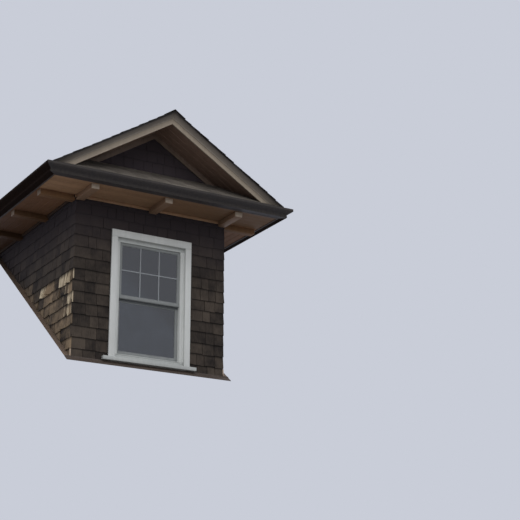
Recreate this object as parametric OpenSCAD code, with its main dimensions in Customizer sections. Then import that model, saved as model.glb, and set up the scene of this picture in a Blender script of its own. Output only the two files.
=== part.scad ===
// A gabled dormer window for a sloping house roof, in millimetres.
// The origin is at the middle of the front wall's foot. X runs to the right as
// seen from the street, Y runs back into the roof and Z is up.
// The house roof is the plane that rises from the foot of the front wall's face.

/* [Walls] */
// Width over the shingles of the side walls
wall_w = 1820; // [1600:10:2400]
// Thickness of the walls, from shingle face to inside face
wall_t = 120; // [100:1:180]
// Height of the level soffit above the foot of the front wall
soffit_h = 1790; // [1650:10:2200]
// Thickness of the gable wall above the front wall
gable_t = 60; // [40:1:90]
// Width of the plates under the side walls
sole_w = 90; // [60:1:98]
// Thickness of the plates under the side walls
sole_t = 38; // [30:1:60]

/* [Roof] */
// Pitch of the dormer roof, in degrees
pitch = 32; // [27:0.5:38]
// Pitch of the house roof that the dormer stands on, in degrees
house_pitch = 37; // [30:0.5:42]
// Pitch of the small pent roof across the front, in degrees
pent_pitch = 32; // [28:0.5:38]
// Distance from a wall's face to the fascia
overhang = 446; // [380:1:560]
// Thickness of the roof boards
deck_t = 19; // [12:1:28]
// Thickness of the roof shingles
shingle_t = 10; // [6:1:16]
// How far the shingles pass the fascia
drip = 37; // [20:1:50]
// Width of each wing of the ridge cap
cap_w = 130; // [90:1:180]
// Thickness of the ridge cap
cap_t = 7; // [4:1:12]

/* [Framing] */
// Depth of a rafter, square to the slope
rafter_d = 89; // [80:1:110]
// Thickness of a rafter
rafter_w = 38; // [30:1:50]
// Distance from one rafter to the next
rafter_step = 406; // [300:1:500]
// Depth of the notch where a rafter sits on a side wall
notch_d = 30; // [15:1:40]
// Thickness of the ridge board
ridge_t = 38; // [25:1:50]
// Depth of the ridge board
ridge_d = 140; // [120:1:190]

/* [Rakes] */
// Thickness of the fascias and the barge boards
board_t = 19; // [15:1:28]
// Depth of a barge board, square to the slope
barge_d = 111; // [95:1:150]
// Depth of the crown moulding on a barge board
crown_d = 59; // [30:1:70]
// How far the crown moulding stands forward
crown_p = 55; // [30:1:65]
// How far the shingles pass the crown moulding
verge = 10; // [5:1:15]
// Space between the roof boards and the soffit under the rakes
lookout_d = 38; // [25:1:50]
// Depth of the frieze boards on the gable
frieze_d = 58; // [35:1:80]
// Thickness of the frieze boards
frieze_t = 15; // [10:1:25]

/* [Eaves] */
// Height of the fascia from the soffit to the roof boards
fascia_h = 116; // [92:1:140]
// How far the fascia hangs below the soffit
fascia_drop = 5; // [2:1:15]
// Thickness of the soffit boards
soffit_t = 12; // [8:1:19]
// Width of a beam tail
tail_w = 90; // [60:1:120]
// Depth of a beam tail below the soffit
tail_d = 57; // [40:1:80]
// Length of a beam tail
tail_l = 405; // [300:1:420]
// Distance from one side tail to the next
tail_step = 755; // [600:5:900]
// Distance from the front wall's face to the middle of the first side tail
tail_first = 65; // [60:1:200]
// Number of tails on each side
tail_count = 3; // [2:1:3]
// Height of the bed moulding under the soffit
bed_d = 30; // [20:1:45]
// Thickness of the bed moulding
bed_t = 20; // [12:1:30]

/* [Gutters] */
// Width of a gutter at its lip
gutter_w = 120; // [105:1:130]
// Width of a gutter's floor
gutter_base = 68; // [55:1:85]
// Depth of a gutter
gutter_d = 95; // [80:1:96]
// Thickness of the gutter metal
gutter_t = 3; // [2:0.5:4]
// Width of the rim that turns in at the lip
gutter_rim = 12; // [8:1:18]

/* [Window] */
// Width over the window casing
window_w = 963; // [800:1:1200]
// Height of the top of the casing above the foot of the wall
window_top = 1475; // [1300:5:1600]
// Height of the top of the sill above the foot of the wall
sill_top = 55; // [50:1:120]
// Depth of the sill nose
sill_d = 40; // [30:1:45]
// How far the sill nose stands forward of the casing
sill_nose = 25; // [12:1:40]
// How far the sill runs past the casing at each end
sill_horn = 70; // [40:1:100]
// Width of the side casings
casing_w = 70; // [50:1:100]
// Width of the head casing
head_w = 80; // [60:1:120]
// Thickness of the casing
casing_t = 22; // [16:1:30]
// How far the window frame runs in behind the casing
casing_lap = 30; // [15:1:40]
// Width of the frame that shows inside the casing
frame_face = 45; // [30:1:60]
// Height of the frame's bottom member
frame_foot = 52; // [30:1:60]
// Set-back of the frame's face behind the wall face
frame_set = 18; // [10:1:25]
// Depth of the frame behind its face
frame_d = 80; // [78:1:82]
// Set-back of the upper sash behind the frame's face
sash_set = 12; // [6:1:12]
// Thickness of a sash
sash_t = 32; // [26:1:33]
// Space between the two sashes
sash_gap = 2; // [1:1:2]
// Width of a sash stile
stile_w = 28; // [22:1:55]
// Height of the upper sash's top rail
top_rail = 24; // [20:1:50]
// Height of the upper sash's bottom rail, where the sashes meet
meeting_rail = 36; // [28:1:50]
// Height of the lower sash's top rail
check_rail = 60; // [28:1:75]
// Height of the lower sash's bottom rail
bottom_rail = 40; // [28:1:80]
// Height of the top of the meeting rails above the foot of the wall
meeting_h = 760; // [650:5:850]
// Thickness of the glass units
glass_t = 16; // [6:1:20]

/* [Flashings] */
// Thickness of the flashings
flash_t = 3; // [2:0.5:4]
// Length of the apron down the house roof
apron_l = 85; // [60:1:200]
// Space between the apron's upstand and the sill nose
apron_gap = 3; // [1:1:8]
// Height of the side flashings on the walls, square to the roof
flash_up = 70; // [40:1:100]
// Width of the side flashings on the house roof
flash_out = 60; // [40:1:90]
// How far the side flashings turn round the corners onto the front
flash_ear = 28; // [15:1:50]

/* [Hidden] */

// Larger than the whole dormer, for cutting planes
far = 12000;
// Steps along each curve of a moulding
curve_steps = 6;

half_w = wall_w / 2;
front_y = -wall_t / 2;
inside_y = wall_t / 2;
fascia_x = half_w + overhang;
fascia_y = front_y - overhang;
slope = tan(pitch);
house_slope = tan(house_pitch);
skin_t = shingle_t + deck_t;
// Height at which the roof shingles' top planes meet over the middle
peak_z = soffit_h + fascia_h + skin_t / cos(pitch) + fascia_x * slope;
// Height of the side walls' top, where the rafters sit
plate_z = roof_z(half_w, skin_t + rafter_d) + notch_d;
// Where the ridge meets the house roof
back_y = front_y + peak_z / house_slope + rafter_step;
roof_front_y = fascia_y - crown_p - verge;
rake_soffit_o = skin_t + lookout_d + soffit_t;
gutter_z = soffit_h - fascia_drop + gutter_t;
// Where a side gutter's floor would meet the house roof
gutter_end_y = front_y + gutter_z / house_slope;
// Top of the apron's upstand
apron_top = sill_top - sill_d - apron_gap;

casing_half = window_w / 2;
hole_half = casing_half - casing_w + casing_lap;
hole_top = window_top - head_w + casing_lap;
sill_bottom = sill_top - sill_d;
daylight_half = casing_half - casing_w - frame_face;
daylight_top = window_top - head_w - frame_face;
daylight_bottom = sill_top + frame_foot;
upper_y = front_y + frame_set + sash_set;
lower_y = upper_y + sash_t + sash_gap;

// Height of the plane that lies o below the roof shingles' tops, square to the slope
function roof_z(x, o) = peak_z - abs(x) * slope - o / cos(pitch);
// The same for the pent roof
function pent_z(y, o) =
    soffit_h + fascia_h + (skin_t - o) / cos(pent_pitch) + (y - fascia_y) * tan(pent_pitch);
// Height of the house roof
function house_z(y) = (y - front_y) * house_slope;
// Where the house roof reaches a height
function house_y(z) = front_y + z / house_slope;

// An outline drawn in X and Z, drawn out along Y
module along_y(y0, y1) {
    translate([0, y1, 0])
        rotate([90, 0, 0])
            linear_extrude(y1 - y0)
                children();
}

// An outline drawn in Y and Z, drawn out along X
module along_x(x0, x1) {
    translate([x0, 0, 0])
        rotate([90, 0, 90])
            linear_extrude(x1 - x0)
                children();
}

module box(x0, x1, y0, y1, z0, z1) {
    translate([x0, y0, z0])
        cube([x1 - x0, y1 - y0, z1 - z0]);
}

module on_left() {
    mirror([1, 0, 0])
        children();
}

// Everything under a plane that rises to the back from height z at y
module under_plane(y, z, angle) {
    translate([0, y, z])
        rotate([angle, 0, 0])
            translate([-far, -far, -2 * far])
                cube(2 * far);
}

// Cuts its children along the house roof
module on_house_roof() {
    difference() {
        children();
        under_plane(front_y, 0, house_pitch);
    }
}

// Cuts its children along the plane that lies o below the pent shingles' tops
module on_pent(o) {
    difference() {
        children();
        under_plane(fascia_y, pent_z(fascia_y, o), pent_pitch);
    }
}

// Everything above the two planes that lie o below the roof shingles' tops
module above_slopes(o, y0, y1) {
    along_y(y0, y1)
        polygon([[-far, roof_z(far, o)], [0, roof_z(0, o)], [far, roof_z(far, o)], [far, far], [-far, far]]);
}

// One layer of the right-hand slope, between depths o0 and o1
module slope_layer(o0, o1, x0, x1, y0, y1) {
    along_y(y0, y1)
        polygon([[x0, roof_z(x0, o0)], [x1, roof_z(x1, o0)], [x1, roof_z(x1, o1)], [x0, roof_z(x0, o1)]]);
}

// One layer of the pent roof, from y0 back to the wall, let in under the rakes
module pent_layer(o0, o1, y0, reach) {
    board_back = fascia_y + board_t;
    difference() {
        along_x(-reach, reach)
            polygon([[y0, pent_z(y0, o0)], [front_y, pent_z(front_y, o0)],
                     [front_y, pent_z(front_y, o1)], [y0, pent_z(y0, o1)]]);
        above_slopes(rake_soffit_o, board_back, front_y + far);
        above_slopes(shingle_t, y0 - far, board_back);
    }
}

module front_wall() {
    color("#4a433d")
        difference() {
            box(-half_w, half_w, front_y, inside_y, 0, plate_z);
            box(-hole_half, hole_half, front_y - far, inside_y + far, sill_bottom, hole_top);
        }
}

module gable_wall() {
    color("#3d3733")
        along_y(front_y, front_y + gable_t)
            polygon([[-half_w, plate_z], [half_w, plate_z], [half_w, roof_z(half_w, skin_t)],
                     [0, roof_z(0, skin_t)], [-half_w, roof_z(half_w, skin_t)]]);
}

module right_sole_plate() {
    rise = sole_t / cos(house_pitch);
    color("#9b8565")
        along_x(half_w - wall_t, half_w - wall_t + sole_w)
            polygon([[inside_y, house_z(inside_y)], [house_y(plate_z), plate_z],
                     [house_y(plate_z - rise), plate_z], [inside_y, house_z(inside_y) + rise]]);
}

module left_sole_plate() {
    on_left()
        right_sole_plate();
}

module right_cheek() {
    color("#5b5147")
        difference() {
            along_x(half_w - wall_t, half_w)
                polygon([[inside_y, house_z(inside_y)], [house_y(plate_z), plate_z], [inside_y, plate_z]]);
            right_sole_plate();
        }
}

module left_cheek() {
    on_left()
        right_cheek();
}

module ridge_board() {
    top = [[-ridge_t / 2, roof_z(ridge_t / 2, skin_t)], [0, roof_z(0, skin_t)],
           [ridge_t / 2, roof_z(ridge_t / 2, skin_t)]];
    bottom_z = roof_z(0, skin_t) - ridge_d;
    color("#a08a68")
        on_house_roof()
            along_y(front_y + gable_t, back_y)
                polygon(concat(top, [[ridge_t / 2, bottom_z], [-ridge_t / 2, bottom_z]]));
}

module right_rafters() {
    tail_x = fascia_x - board_t;
    color("#a08a68")
        on_house_roof()
            difference() {
                for (y = [front_y + gable_t : rafter_step : back_y])
                    slope_layer(skin_t, skin_t + rafter_d, ridge_t / 2, tail_x, y, y + rafter_w);
                box(half_w - wall_t, half_w, front_y, far, 0, plate_z);
                box(half_w, far, front_y, far, 0, soffit_h + soffit_t);
            }
}

module left_rafters() {
    on_left()
        right_rafters();
}

module right_roof_deck() {
    color("#8d7a5c")
        on_house_roof()
            slope_layer(shingle_t, skin_t, 0, fascia_x, fascia_y + board_t, back_y);
}

module left_roof_deck() {
    on_left()
        right_roof_deck();
}

module right_roof_shingles() {
    color("#6f5f4f")
        on_house_roof()
            slope_layer(0, shingle_t, 0, fascia_x + drip, roof_front_y, back_y);
}

module left_roof_shingles() {
    on_left()
        right_roof_shingles();
}

module ridge_cap() {
    color("#665747")
        on_house_roof()
            along_y(roof_front_y, back_y)
                polygon([[-cap_w, roof_z(cap_w, 0)], [0, roof_z(0, 0)], [cap_w, roof_z(cap_w, 0)],
                         [cap_w, roof_z(cap_w, -cap_t)], [0, roof_z(0, -cap_t)],
                         [-cap_w, roof_z(cap_w, -cap_t)]]);
}

module pent_deck() {
    color("#8d7a5c")
        pent_layer(shingle_t, skin_t, fascia_y, fascia_x);
}

module pent_shingles() {
    color("#7b746b")
        pent_layer(0, shingle_t, fascia_y - drip, fascia_x + drip);
}

module front_fascia() {
    back = fascia_y + board_t;
    bottom = soffit_h - fascia_drop;
    color("#57504a")
        along_x(-fascia_x, fascia_x)
            polygon([[fascia_y, bottom], [back, bottom], [back, pent_z(back, skin_t)],
                     [fascia_y, pent_z(fascia_y, skin_t)]]);
}

module right_fascia() {
    back = fascia_x - board_t;
    bottom = soffit_h - fascia_drop;
    color("#57504a")
        on_house_roof()
            along_y(fascia_y + board_t, back_y)
                polygon([[back, bottom], [fascia_x, bottom], [fascia_x, roof_z(fascia_x, skin_t)],
                         [back, roof_z(back, skin_t)]]);
}

module left_fascia() {
    on_left()
        right_fascia();
}

module front_soffit() {
    reach = fascia_x - board_t;
    color("#7d6a53")
        box(-reach, reach, fascia_y + board_t, front_y, soffit_h, soffit_h + soffit_t);
}

module right_soffit() {
    color("#7d6a53")
        on_house_roof()
            box(half_w, fascia_x - board_t, front_y, back_y, soffit_h, soffit_h + soffit_t);
}

module left_soffit() {
    on_left()
        right_soffit();
}

module front_tails() {
    color("#b3a08a")
        for (side = [-1, 0, 1])
            translate([side * (half_w - tail_w / 2), 0, 0])
                box(-tail_w / 2, tail_w / 2, front_y - tail_l, front_y, soffit_h - tail_d, soffit_h);
}

module right_tails() {
    color("#b3a08a")
        on_house_roof()
            for (i = [0 : tail_count - 1])
                translate([half_w, front_y + tail_first + i * tail_step, 0])
                    box(0, tail_l, -tail_w / 2, tail_w / 2, soffit_h - tail_d, soffit_h);
}

module left_tails() {
    on_left()
        right_tails();
}

// The bed moulding follows the walls under the soffit, between the tails
module bed_moulds() {
    bottom = soffit_h - bed_d;
    color("#85725c")
        on_house_roof()
            difference() {
                box(-half_w - bed_t, half_w + bed_t, front_y - bed_t, back_y, bottom, soffit_h);
                box(-half_w, half_w, front_y, back_y + far, bottom - far, soffit_h + far);
                front_tails();
                left_tails();
                right_tails();
            }
}

module right_barge_board() {
    color("#a89c8a")
        on_pent(0)
            slope_layer(shingle_t, shingle_t + barge_d, 0, fascia_x, fascia_y, fascia_y + board_t);
}

module left_barge_board() {
    on_left()
        right_barge_board();
}

// Outline of the crown moulding: forward reach against depth below the shingles' tops
function crown_outline() =
    let (nose = crown_p / 7, foot = crown_p / 8, top = shingle_t, low = shingle_t + crown_d,
         curve_d = crown_d - 2 * nose, reach = crown_p - foot)
    concat([[0, low], [0, top], [crown_p, top], [crown_p, top + nose]],
           [for (i = [0 : 2 * curve_steps])
               let (t = i / (2 * curve_steps))
               [foot + reach * (0.5 + 0.5 * cos(180 * t)) - sin(360 * t) * crown_p / 12,
                top + nose + curve_d * t]],
           [[foot, low]]);

module right_rake_crown() {
    run = fascia_x + drip;
    color("#8b857b")
        on_pent(0)
            intersection() {
                translate([0, fascia_y, peak_z])
                    rotate([0, 90 + pitch, 0])
                        rotate([0, 0, -90])
                            linear_extrude(2 * run)
                                polygon(crown_outline());
                box(0, run, roof_front_y, fascia_y, soffit_h, peak_z);
            }
}

module left_rake_crown() {
    on_left()
        right_rake_crown();
}

module right_rake_soffit() {
    color("#7d6a53")
        on_pent(skin_t)
            slope_layer(skin_t + lookout_d, rake_soffit_o, 0, fascia_x, fascia_y + board_t, front_y);
}

module left_rake_soffit() {
    on_left()
        right_rake_soffit();
}

module frieze_boards() {
    low = rake_soffit_o + frieze_d;
    color("#80705f")
        on_pent(0)
            along_y(front_y - frieze_t, front_y)
                polygon([[-fascia_x, roof_z(fascia_x, rake_soffit_o)], [0, roof_z(0, rake_soffit_o)],
                         [fascia_x, roof_z(fascia_x, rake_soffit_o)], [fascia_x, roof_z(fascia_x, low)],
                         [0, roof_z(0, low)], [-fascia_x, roof_z(fascia_x, low)]]);
}

// The gutter's path from its back edge round the floor and the ogee front to the turned-in rim:
// distance out from the fascia against height above the gutter's underside
function gutter_path(inset) =
    let (out = gutter_w - inset, floor_z = inset, lip = gutter_d / 7, step = gutter_d / 5,
         swing = gutter_d - lip - step - inset, base = gutter_base - inset)
    concat([[inset, gutter_d], [inset, floor_z], [base, floor_z], [base, floor_z + step]],
           [for (i = [1 : 2 * curve_steps])
               let (t = i / (2 * curve_steps))
               [base + (out - base) * (0.5 - 0.5 * cos(180 * t)) - sin(360 * t) * (gutter_w - gutter_base) / 9,
                floor_z + step + (swing - floor_z) * t + inset * t]],
           [[out, gutter_d - inset]]);

// The whole outline of the gutter metal, with the rim
function gutter_outline() =
    let (outer = gutter_path(0), inner = gutter_path(gutter_t), last = len(inner) - 1)
    concat(outer, [[gutter_w - gutter_rim, gutter_d], [gutter_w - gutter_rim, gutter_d - gutter_t]],
           [for (i = [last : -1 : 0]) inner[i]]);

module front_gutter() {
    reach = fascia_x + gutter_w;
    color("#45423f")
        difference() {
            along_x(-reach, reach)
                polygon([for (p = gutter_outline()) [fascia_y - p[0], gutter_z + p[1]]]);
            corner_mitre(45);
            on_left()
                corner_mitre(45);
        }
}

// Everything on one side of the upright plane across the right-hand corner
module corner_mitre(turn) {
    translate([fascia_x, fascia_y, 0])
        rotate([0, 0, turn])
            translate([0, -far, -far])
                cube(2 * far);
}

module right_gutter() {
    outline = [for (p = gutter_outline()) [fascia_x + p[0], gutter_z + p[1]]];
    cap = [for (p = concat(gutter_path(0), [[gutter_w, gutter_d]])) [fascia_x + p[0], gutter_z + p[1]]];
    color("#45423f") {
        difference() {
            along_y(fascia_y - gutter_w, gutter_end_y)
                polygon(outline);
            corner_mitre(225);
        }
        along_y(gutter_end_y - gutter_t, gutter_end_y)
            polygon(cap);
    }
}

module left_gutter() {
    on_left()
        right_gutter();
}

module window_frame() {
    back = front_y + frame_set + frame_d;
    color("#c9ccc6")
        difference() {
            box(-hole_half, hole_half, front_y, back, sill_top, hole_top);
            box(-daylight_half, daylight_half, front_y - far, back + far, daylight_bottom, daylight_top);
            box(-daylight_half - frame_face, daylight_half + frame_face, front_y - far,
                front_y + frame_set, sill_top - far, daylight_top + frame_face);
        }
}

module window_casing() {
    color("#d6d8d2")
        difference() {
            box(-casing_half, casing_half, front_y - casing_t, front_y, sill_top, window_top);
            box(casing_w - casing_half, casing_half - casing_w, front_y - far, front_y + far,
                sill_top - far, window_top - head_w);
        }
}

module window_sill() {
    nose_half = casing_half + sill_horn;
    color("#d6d8d2") {
        box(-nose_half, nose_half, front_y - casing_t - sill_nose, front_y, sill_bottom, sill_top);
        box(-hole_half, hole_half, front_y, front_y + frame_set + frame_d, sill_bottom, sill_top);
    }
}

// A sash with one opening for its glass
module sash(y, z0, z1, low_rail, high_rail) {
    difference() {
        box(-daylight_half, daylight_half, y, y + sash_t, z0, z1);
        box(stile_w - daylight_half, daylight_half - stile_w, y - far, y + far, z0 + low_rail, z1 - high_rail);
    }
}

// The glass unit of the same sash
module pane(y, z0, z1, low_rail, high_rail) {
    middle = y + sash_t / 2;
    box(stile_w - daylight_half, daylight_half - stile_w, middle - glass_t / 2, middle + glass_t / 2,
        z0 + low_rail, z1 - high_rail);
}

module upper_sash() {
    color("#a9aca8")
        sash(upper_y, meeting_h - meeting_rail, daylight_top, meeting_rail, top_rail);
}

module lower_sash() {
    color("#a9aca8")
        sash(lower_y, daylight_bottom, meeting_h, bottom_rail, check_rail);
}

module window_glass() {
    color("#6b7076") {
        pane(upper_y, meeting_h - meeting_rail, daylight_top, meeting_rail, top_rail);
        pane(lower_y, daylight_bottom, meeting_h, bottom_rail, check_rail);
    }
}

module apron_flashing() {
    reach = half_w + flash_out;
    front = front_y - apron_l * cos(house_pitch);
    lift = flash_t / cos(house_pitch);
    color("#7c776e")
        along_x(-reach, reach)
            polygon([[front, house_z(front)], [front_y, 0], [front_y, apron_top],
                     [front_y - flash_t, apron_top], [front_y - flash_t, house_z(front_y - flash_t) + lift],
                     [front, house_z(front) + lift]]);
}

// A strip that lies on the house roof, as high as rise, up to the bed moulding
module strip_on_house(x0, x1, rise) {
    top = soffit_h - bed_d;
    along_x(x0, x1)
        polygon([[front_y, 0], [house_y(top), top], [house_y(top - rise), top], [front_y, rise]]);
}

module right_step_flashing() {
    rise = flash_up / cos(house_pitch);
    color("#7c776e") {
        strip_on_house(half_w, half_w + flash_t, rise);
        strip_on_house(half_w, half_w + flash_out, flash_t / cos(house_pitch));
        box(half_w - flash_ear, half_w + flash_t, front_y - flash_t, front_y, apron_top, rise);
    }
}

module left_step_flashing() {
    on_left()
        right_step_flashing();
}

front_wall();
gable_wall();
left_cheek();
right_cheek();
left_sole_plate();
right_sole_plate();
ridge_board();
left_rafters();
right_rafters();
left_roof_deck();
right_roof_deck();
left_roof_shingles();
right_roof_shingles();
ridge_cap();
pent_deck();
pent_shingles();
front_fascia();
left_fascia();
right_fascia();
front_soffit();
left_soffit();
right_soffit();
bed_moulds();
front_tails();
left_tails();
right_tails();
left_barge_board();
right_barge_board();
left_rake_crown();
right_rake_crown();
left_rake_soffit();
right_rake_soffit();
frieze_boards();
front_gutter();
left_gutter();
right_gutter();
window_frame();
window_casing();
window_sill();
upper_sash();
lower_sash();
window_glass();
apron_flashing();
left_step_flashing();
right_step_flashing();
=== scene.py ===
"""A gabled dormer window for a sloping house roof, dressed around its solids.

Metres, in the frame of the solids: X runs to the right as seen from the street, Y runs back
into the roof and Z is up. The origin is at the middle of the front wall's foot, and the house
roof rises from the foot of the front wall's face.
"""

import logging
import math
import random
from collections.abc import Callable, Iterator, Sequence
from dataclasses import dataclass, field
from enum import Enum
from typing import Any

import bmesh
import bpy
from mathutils import Euler, Matrix, Vector


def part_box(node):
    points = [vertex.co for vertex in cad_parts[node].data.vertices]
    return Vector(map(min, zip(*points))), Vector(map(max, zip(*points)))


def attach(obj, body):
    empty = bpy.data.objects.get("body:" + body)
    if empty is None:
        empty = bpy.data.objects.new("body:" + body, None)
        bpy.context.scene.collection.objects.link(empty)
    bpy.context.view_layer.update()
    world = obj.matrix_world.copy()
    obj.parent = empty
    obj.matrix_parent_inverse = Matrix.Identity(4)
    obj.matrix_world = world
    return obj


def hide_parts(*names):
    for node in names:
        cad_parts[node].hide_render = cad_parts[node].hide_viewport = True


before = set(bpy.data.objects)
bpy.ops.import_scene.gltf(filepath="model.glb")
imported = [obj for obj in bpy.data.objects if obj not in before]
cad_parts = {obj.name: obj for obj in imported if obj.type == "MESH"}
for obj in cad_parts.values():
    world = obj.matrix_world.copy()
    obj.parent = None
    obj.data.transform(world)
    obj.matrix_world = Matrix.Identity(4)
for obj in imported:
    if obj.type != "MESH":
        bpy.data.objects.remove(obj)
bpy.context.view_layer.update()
LOG = logging.getLogger("dormer")

MM = 0.001
# How deep a small piece reaches into what carries it, and the step that keeps two faces out of one plane
BITE = 1 * MM
HAIR = 0.5 * MM
PITCH = math.radians(32.0)
SLOPE = math.tan(PITCH)
HOUSE_PITCH = math.radians(37.0)
HOUSE_SLOPE = math.tan(HOUSE_PITCH)
ACROSS = Vector((1.0, 0.0, 0.0))
BACK = Vector((0.0, 1.0, 0.0))
UP = Vector((0.0, 0.0, 1.0))
UNDER_HOUSE = Vector((0.0, math.sin(HOUSE_PITCH), -math.cos(HOUSE_PITCH)))

BMesh = bmesh.types.BMesh
Vert = bmesh.types.BMVert
Material = bpy.types.Material
Socket = bpy.types.NodeSocket
Span = tuple[float, float]
Hole = tuple[float, float, float, float]
Shape = Callable[[float, float, float], Vector]


class Side(Enum):
    """A side of the dormer, as the sign of its X."""

    LEFT = -1
    RIGHT = 1

    def node(self, name: str) -> str:
        """Return the name of this side's own solid."""
        return f"{self.name.lower()}_{name}"

    def span(self, one: float, other: float) -> Span:
        """Return two lengths with this side's sign, the lower one first."""
        return min(self.value * one, self.value * other), max(self.value * one, self.value * other)

    def slope_normal(self) -> Vector:
        """Return the direction that points out of this side's roof slope."""
        return Vector((self.value * math.sin(PITCH), 0.0, math.cos(PITCH)))


class Slot(Enum):
    """The material slots of the record."""

    WALL_SHINGLES = "wall_shingles"
    FRAMING = "framing_lumber"
    BOARDS = "roof_boards"
    ROOF_SHINGLES = "roof_shingles"
    PENT_SHINGLES = "pent_shingles"
    BROWN_TRIM = "brown_trim"
    TAIL_PAINT = "tail_paint"
    PALE_TRIM = "pale_trim"
    CROWN_TRIM = "crown_trim"
    GUTTER = "gutter_metal"
    WINDOW_PAINT = "window_paint"
    SASH_PAINT = "sash_paint"
    GLASS = "window_glass"
    FLASHING = "flashing_metal"


class Run(Enum):
    """The direction in which the grain of a piece runs."""

    ACROSS = (1.0, 0.0, 0.0)
    BACK = (0.0, 1.0, 0.0)
    UP = (0.0, 0.0, 1.0)
    LEFT_RAKE = (1.0, 0.0, SLOPE)
    RIGHT_RAKE = (1.0, 0.0, -SLOPE)

    @classmethod
    def rake(cls, side: Side) -> "Run":
        """Return the direction along one side's rake."""
        return cls.LEFT_RAKE if side is Side.LEFT else cls.RIGHT_RAKE

    def turn(self) -> Matrix:
        """Work out the turn that puts the grain along the first axis.

        Returns:
            The turn, as a matrix.
        """
        along = Vector(self.value).normalized()
        side = along.cross(UP if self is Run.BACK else BACK).normalized()
        return Matrix((along, side, along.cross(side)))


@dataclass(frozen=True)
class Face:
    """A flat face on which pieces are laid out: along it, up it and out of it."""

    origin: Vector
    along: Vector
    up: Vector

    def point(self, along: float, up: float, out: float) -> Vector:
        """Return the place that lies so far along, up and out of the face."""
        normal = self.along.cross(self.up)
        return self.origin + self.along * along + self.up * up + normal * out


@dataclass(frozen=True)
class Trim:
    """A plane that a slab is cut along."""

    point: Vector
    outward: Vector


@dataclass(frozen=True)
class Layout:
    """The faces and levels of the solids that the pieces are fitted to."""

    half_wall: float
    front: float
    inside: float
    plate: float
    eave_x: float
    verge_y: float
    back_y: float
    peak: float
    soffit: float
    fascia_x: float
    fascia_y: float
    board: float
    pent_y: float
    pent_z: float

    @classmethod
    def read(cls) -> "Layout":
        """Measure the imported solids.

        Returns:
            The layout that every class below is built from.
        """
        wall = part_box("front_wall")
        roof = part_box("right_roof_shingles")
        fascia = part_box("front_fascia")
        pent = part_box("pent_shingles")
        return cls(
            half_wall=wall[1].x,
            front=wall[0].y,
            inside=wall[1].y,
            plate=wall[1].z,
            eave_x=roof[1].x,
            verge_y=roof[0].y,
            back_y=roof[1].y,
            peak=roof[1].z,
            soffit=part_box("front_soffit")[0].z,
            fascia_x=fascia[1].x,
            fascia_y=fascia[0].y,
            board=fascia[1].y - fascia[0].y,
            pent_y=pent[0].y,
            pent_z=pent[1].z - (pent[1].y - pent[0].y) * SLOPE,
        )

    def roof_z(self, x: float, depth: float) -> float:
        """Return the height of the plane that lies so deep below the roof shingles' tops."""
        return self.peak - abs(x) * SLOPE - depth / math.cos(PITCH)

    def house_z(self, y: float) -> float:
        """Return the height of the house roof."""
        return (y - self.front) * HOUSE_SLOPE

    def house_y(self, z: float) -> float:
        """Return where the house roof reaches a height."""
        return self.front + z / HOUSE_SLOPE


LAYOUT = Layout.read()


def linear(code: str, alpha: float = 1.0) -> tuple[float, float, float, float]:
    """Turn an sRGB hex colour into a linear one.

    Args:
        code: The colour, such as "#4a433d".
        alpha: The fourth value.

    Returns:
        Red, green, blue and alpha.
    """
    parts = [int(code[i:i + 2], 16) / 255 for i in (1, 3, 5)]
    red, green, blue = (c / 12.92 if c <= 0.04045 else ((c + 0.055) / 1.055) ** 2.4 for c in parts)
    return red, green, blue, alpha


class Graph:
    """The node tree of one material or of the world."""

    def __init__(self, owner: Material | bpy.types.World) -> None:
        """Clear the owner's tree.

        Args:
            owner: The material or world.
        """
        owner.use_nodes = True
        self.tree = owner.node_tree
        self.tree.nodes.clear()

    def add(self, kind: str, inputs: dict[str | int, Any] | None = None, output: int | str = 0,
            **settings: Any) -> Socket | None:
        """Add a node with its settings and links.

        Args:
            kind: The node's type, without its ShaderNode prefix.
            inputs: Values or sockets by input name or number.
            output: The output that is wanted.
            **settings: The node's own properties. Stops are a colour ramp's places and colours.

        Returns:
            The wanted output's socket, or None on a node that has no outputs.
        """
        node = self.tree.nodes.new("ShaderNode" + kind)
        for key, value in settings.items():
            if key == "stops":
                while len(node.color_ramp.elements) < len(value):
                    node.color_ramp.elements.new(1.0)
                for stop, (place, colour) in zip(node.color_ramp.elements, value):
                    stop.position = place
                    stop.color = linear(colour)
            else:
                setattr(node, key, value)
        for key, value in (inputs or {}).items():
            if isinstance(value, Socket):
                self.tree.links.new(value, node.inputs[key])
            else:
                node.inputs[key].default_value = value
        return node.outputs[output] if len(node.outputs) else None


@dataclass(frozen=True)
class Finish:
    """A finish, which each kind below shades in its own way."""

    name: str

    def mix(self) -> Material:
        """Make the material.

        Returns:
            The material, with its whole node tree.
        """
        material = bpy.data.materials.new(self.name)
        g = Graph(material)
        g.add("OutputMaterial", {"Surface": self.shade(g)})
        return material

    def shade(self, g: Graph) -> Socket:
        """Add the finish's nodes and return its shader."""
        raise NotImplementedError


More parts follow.
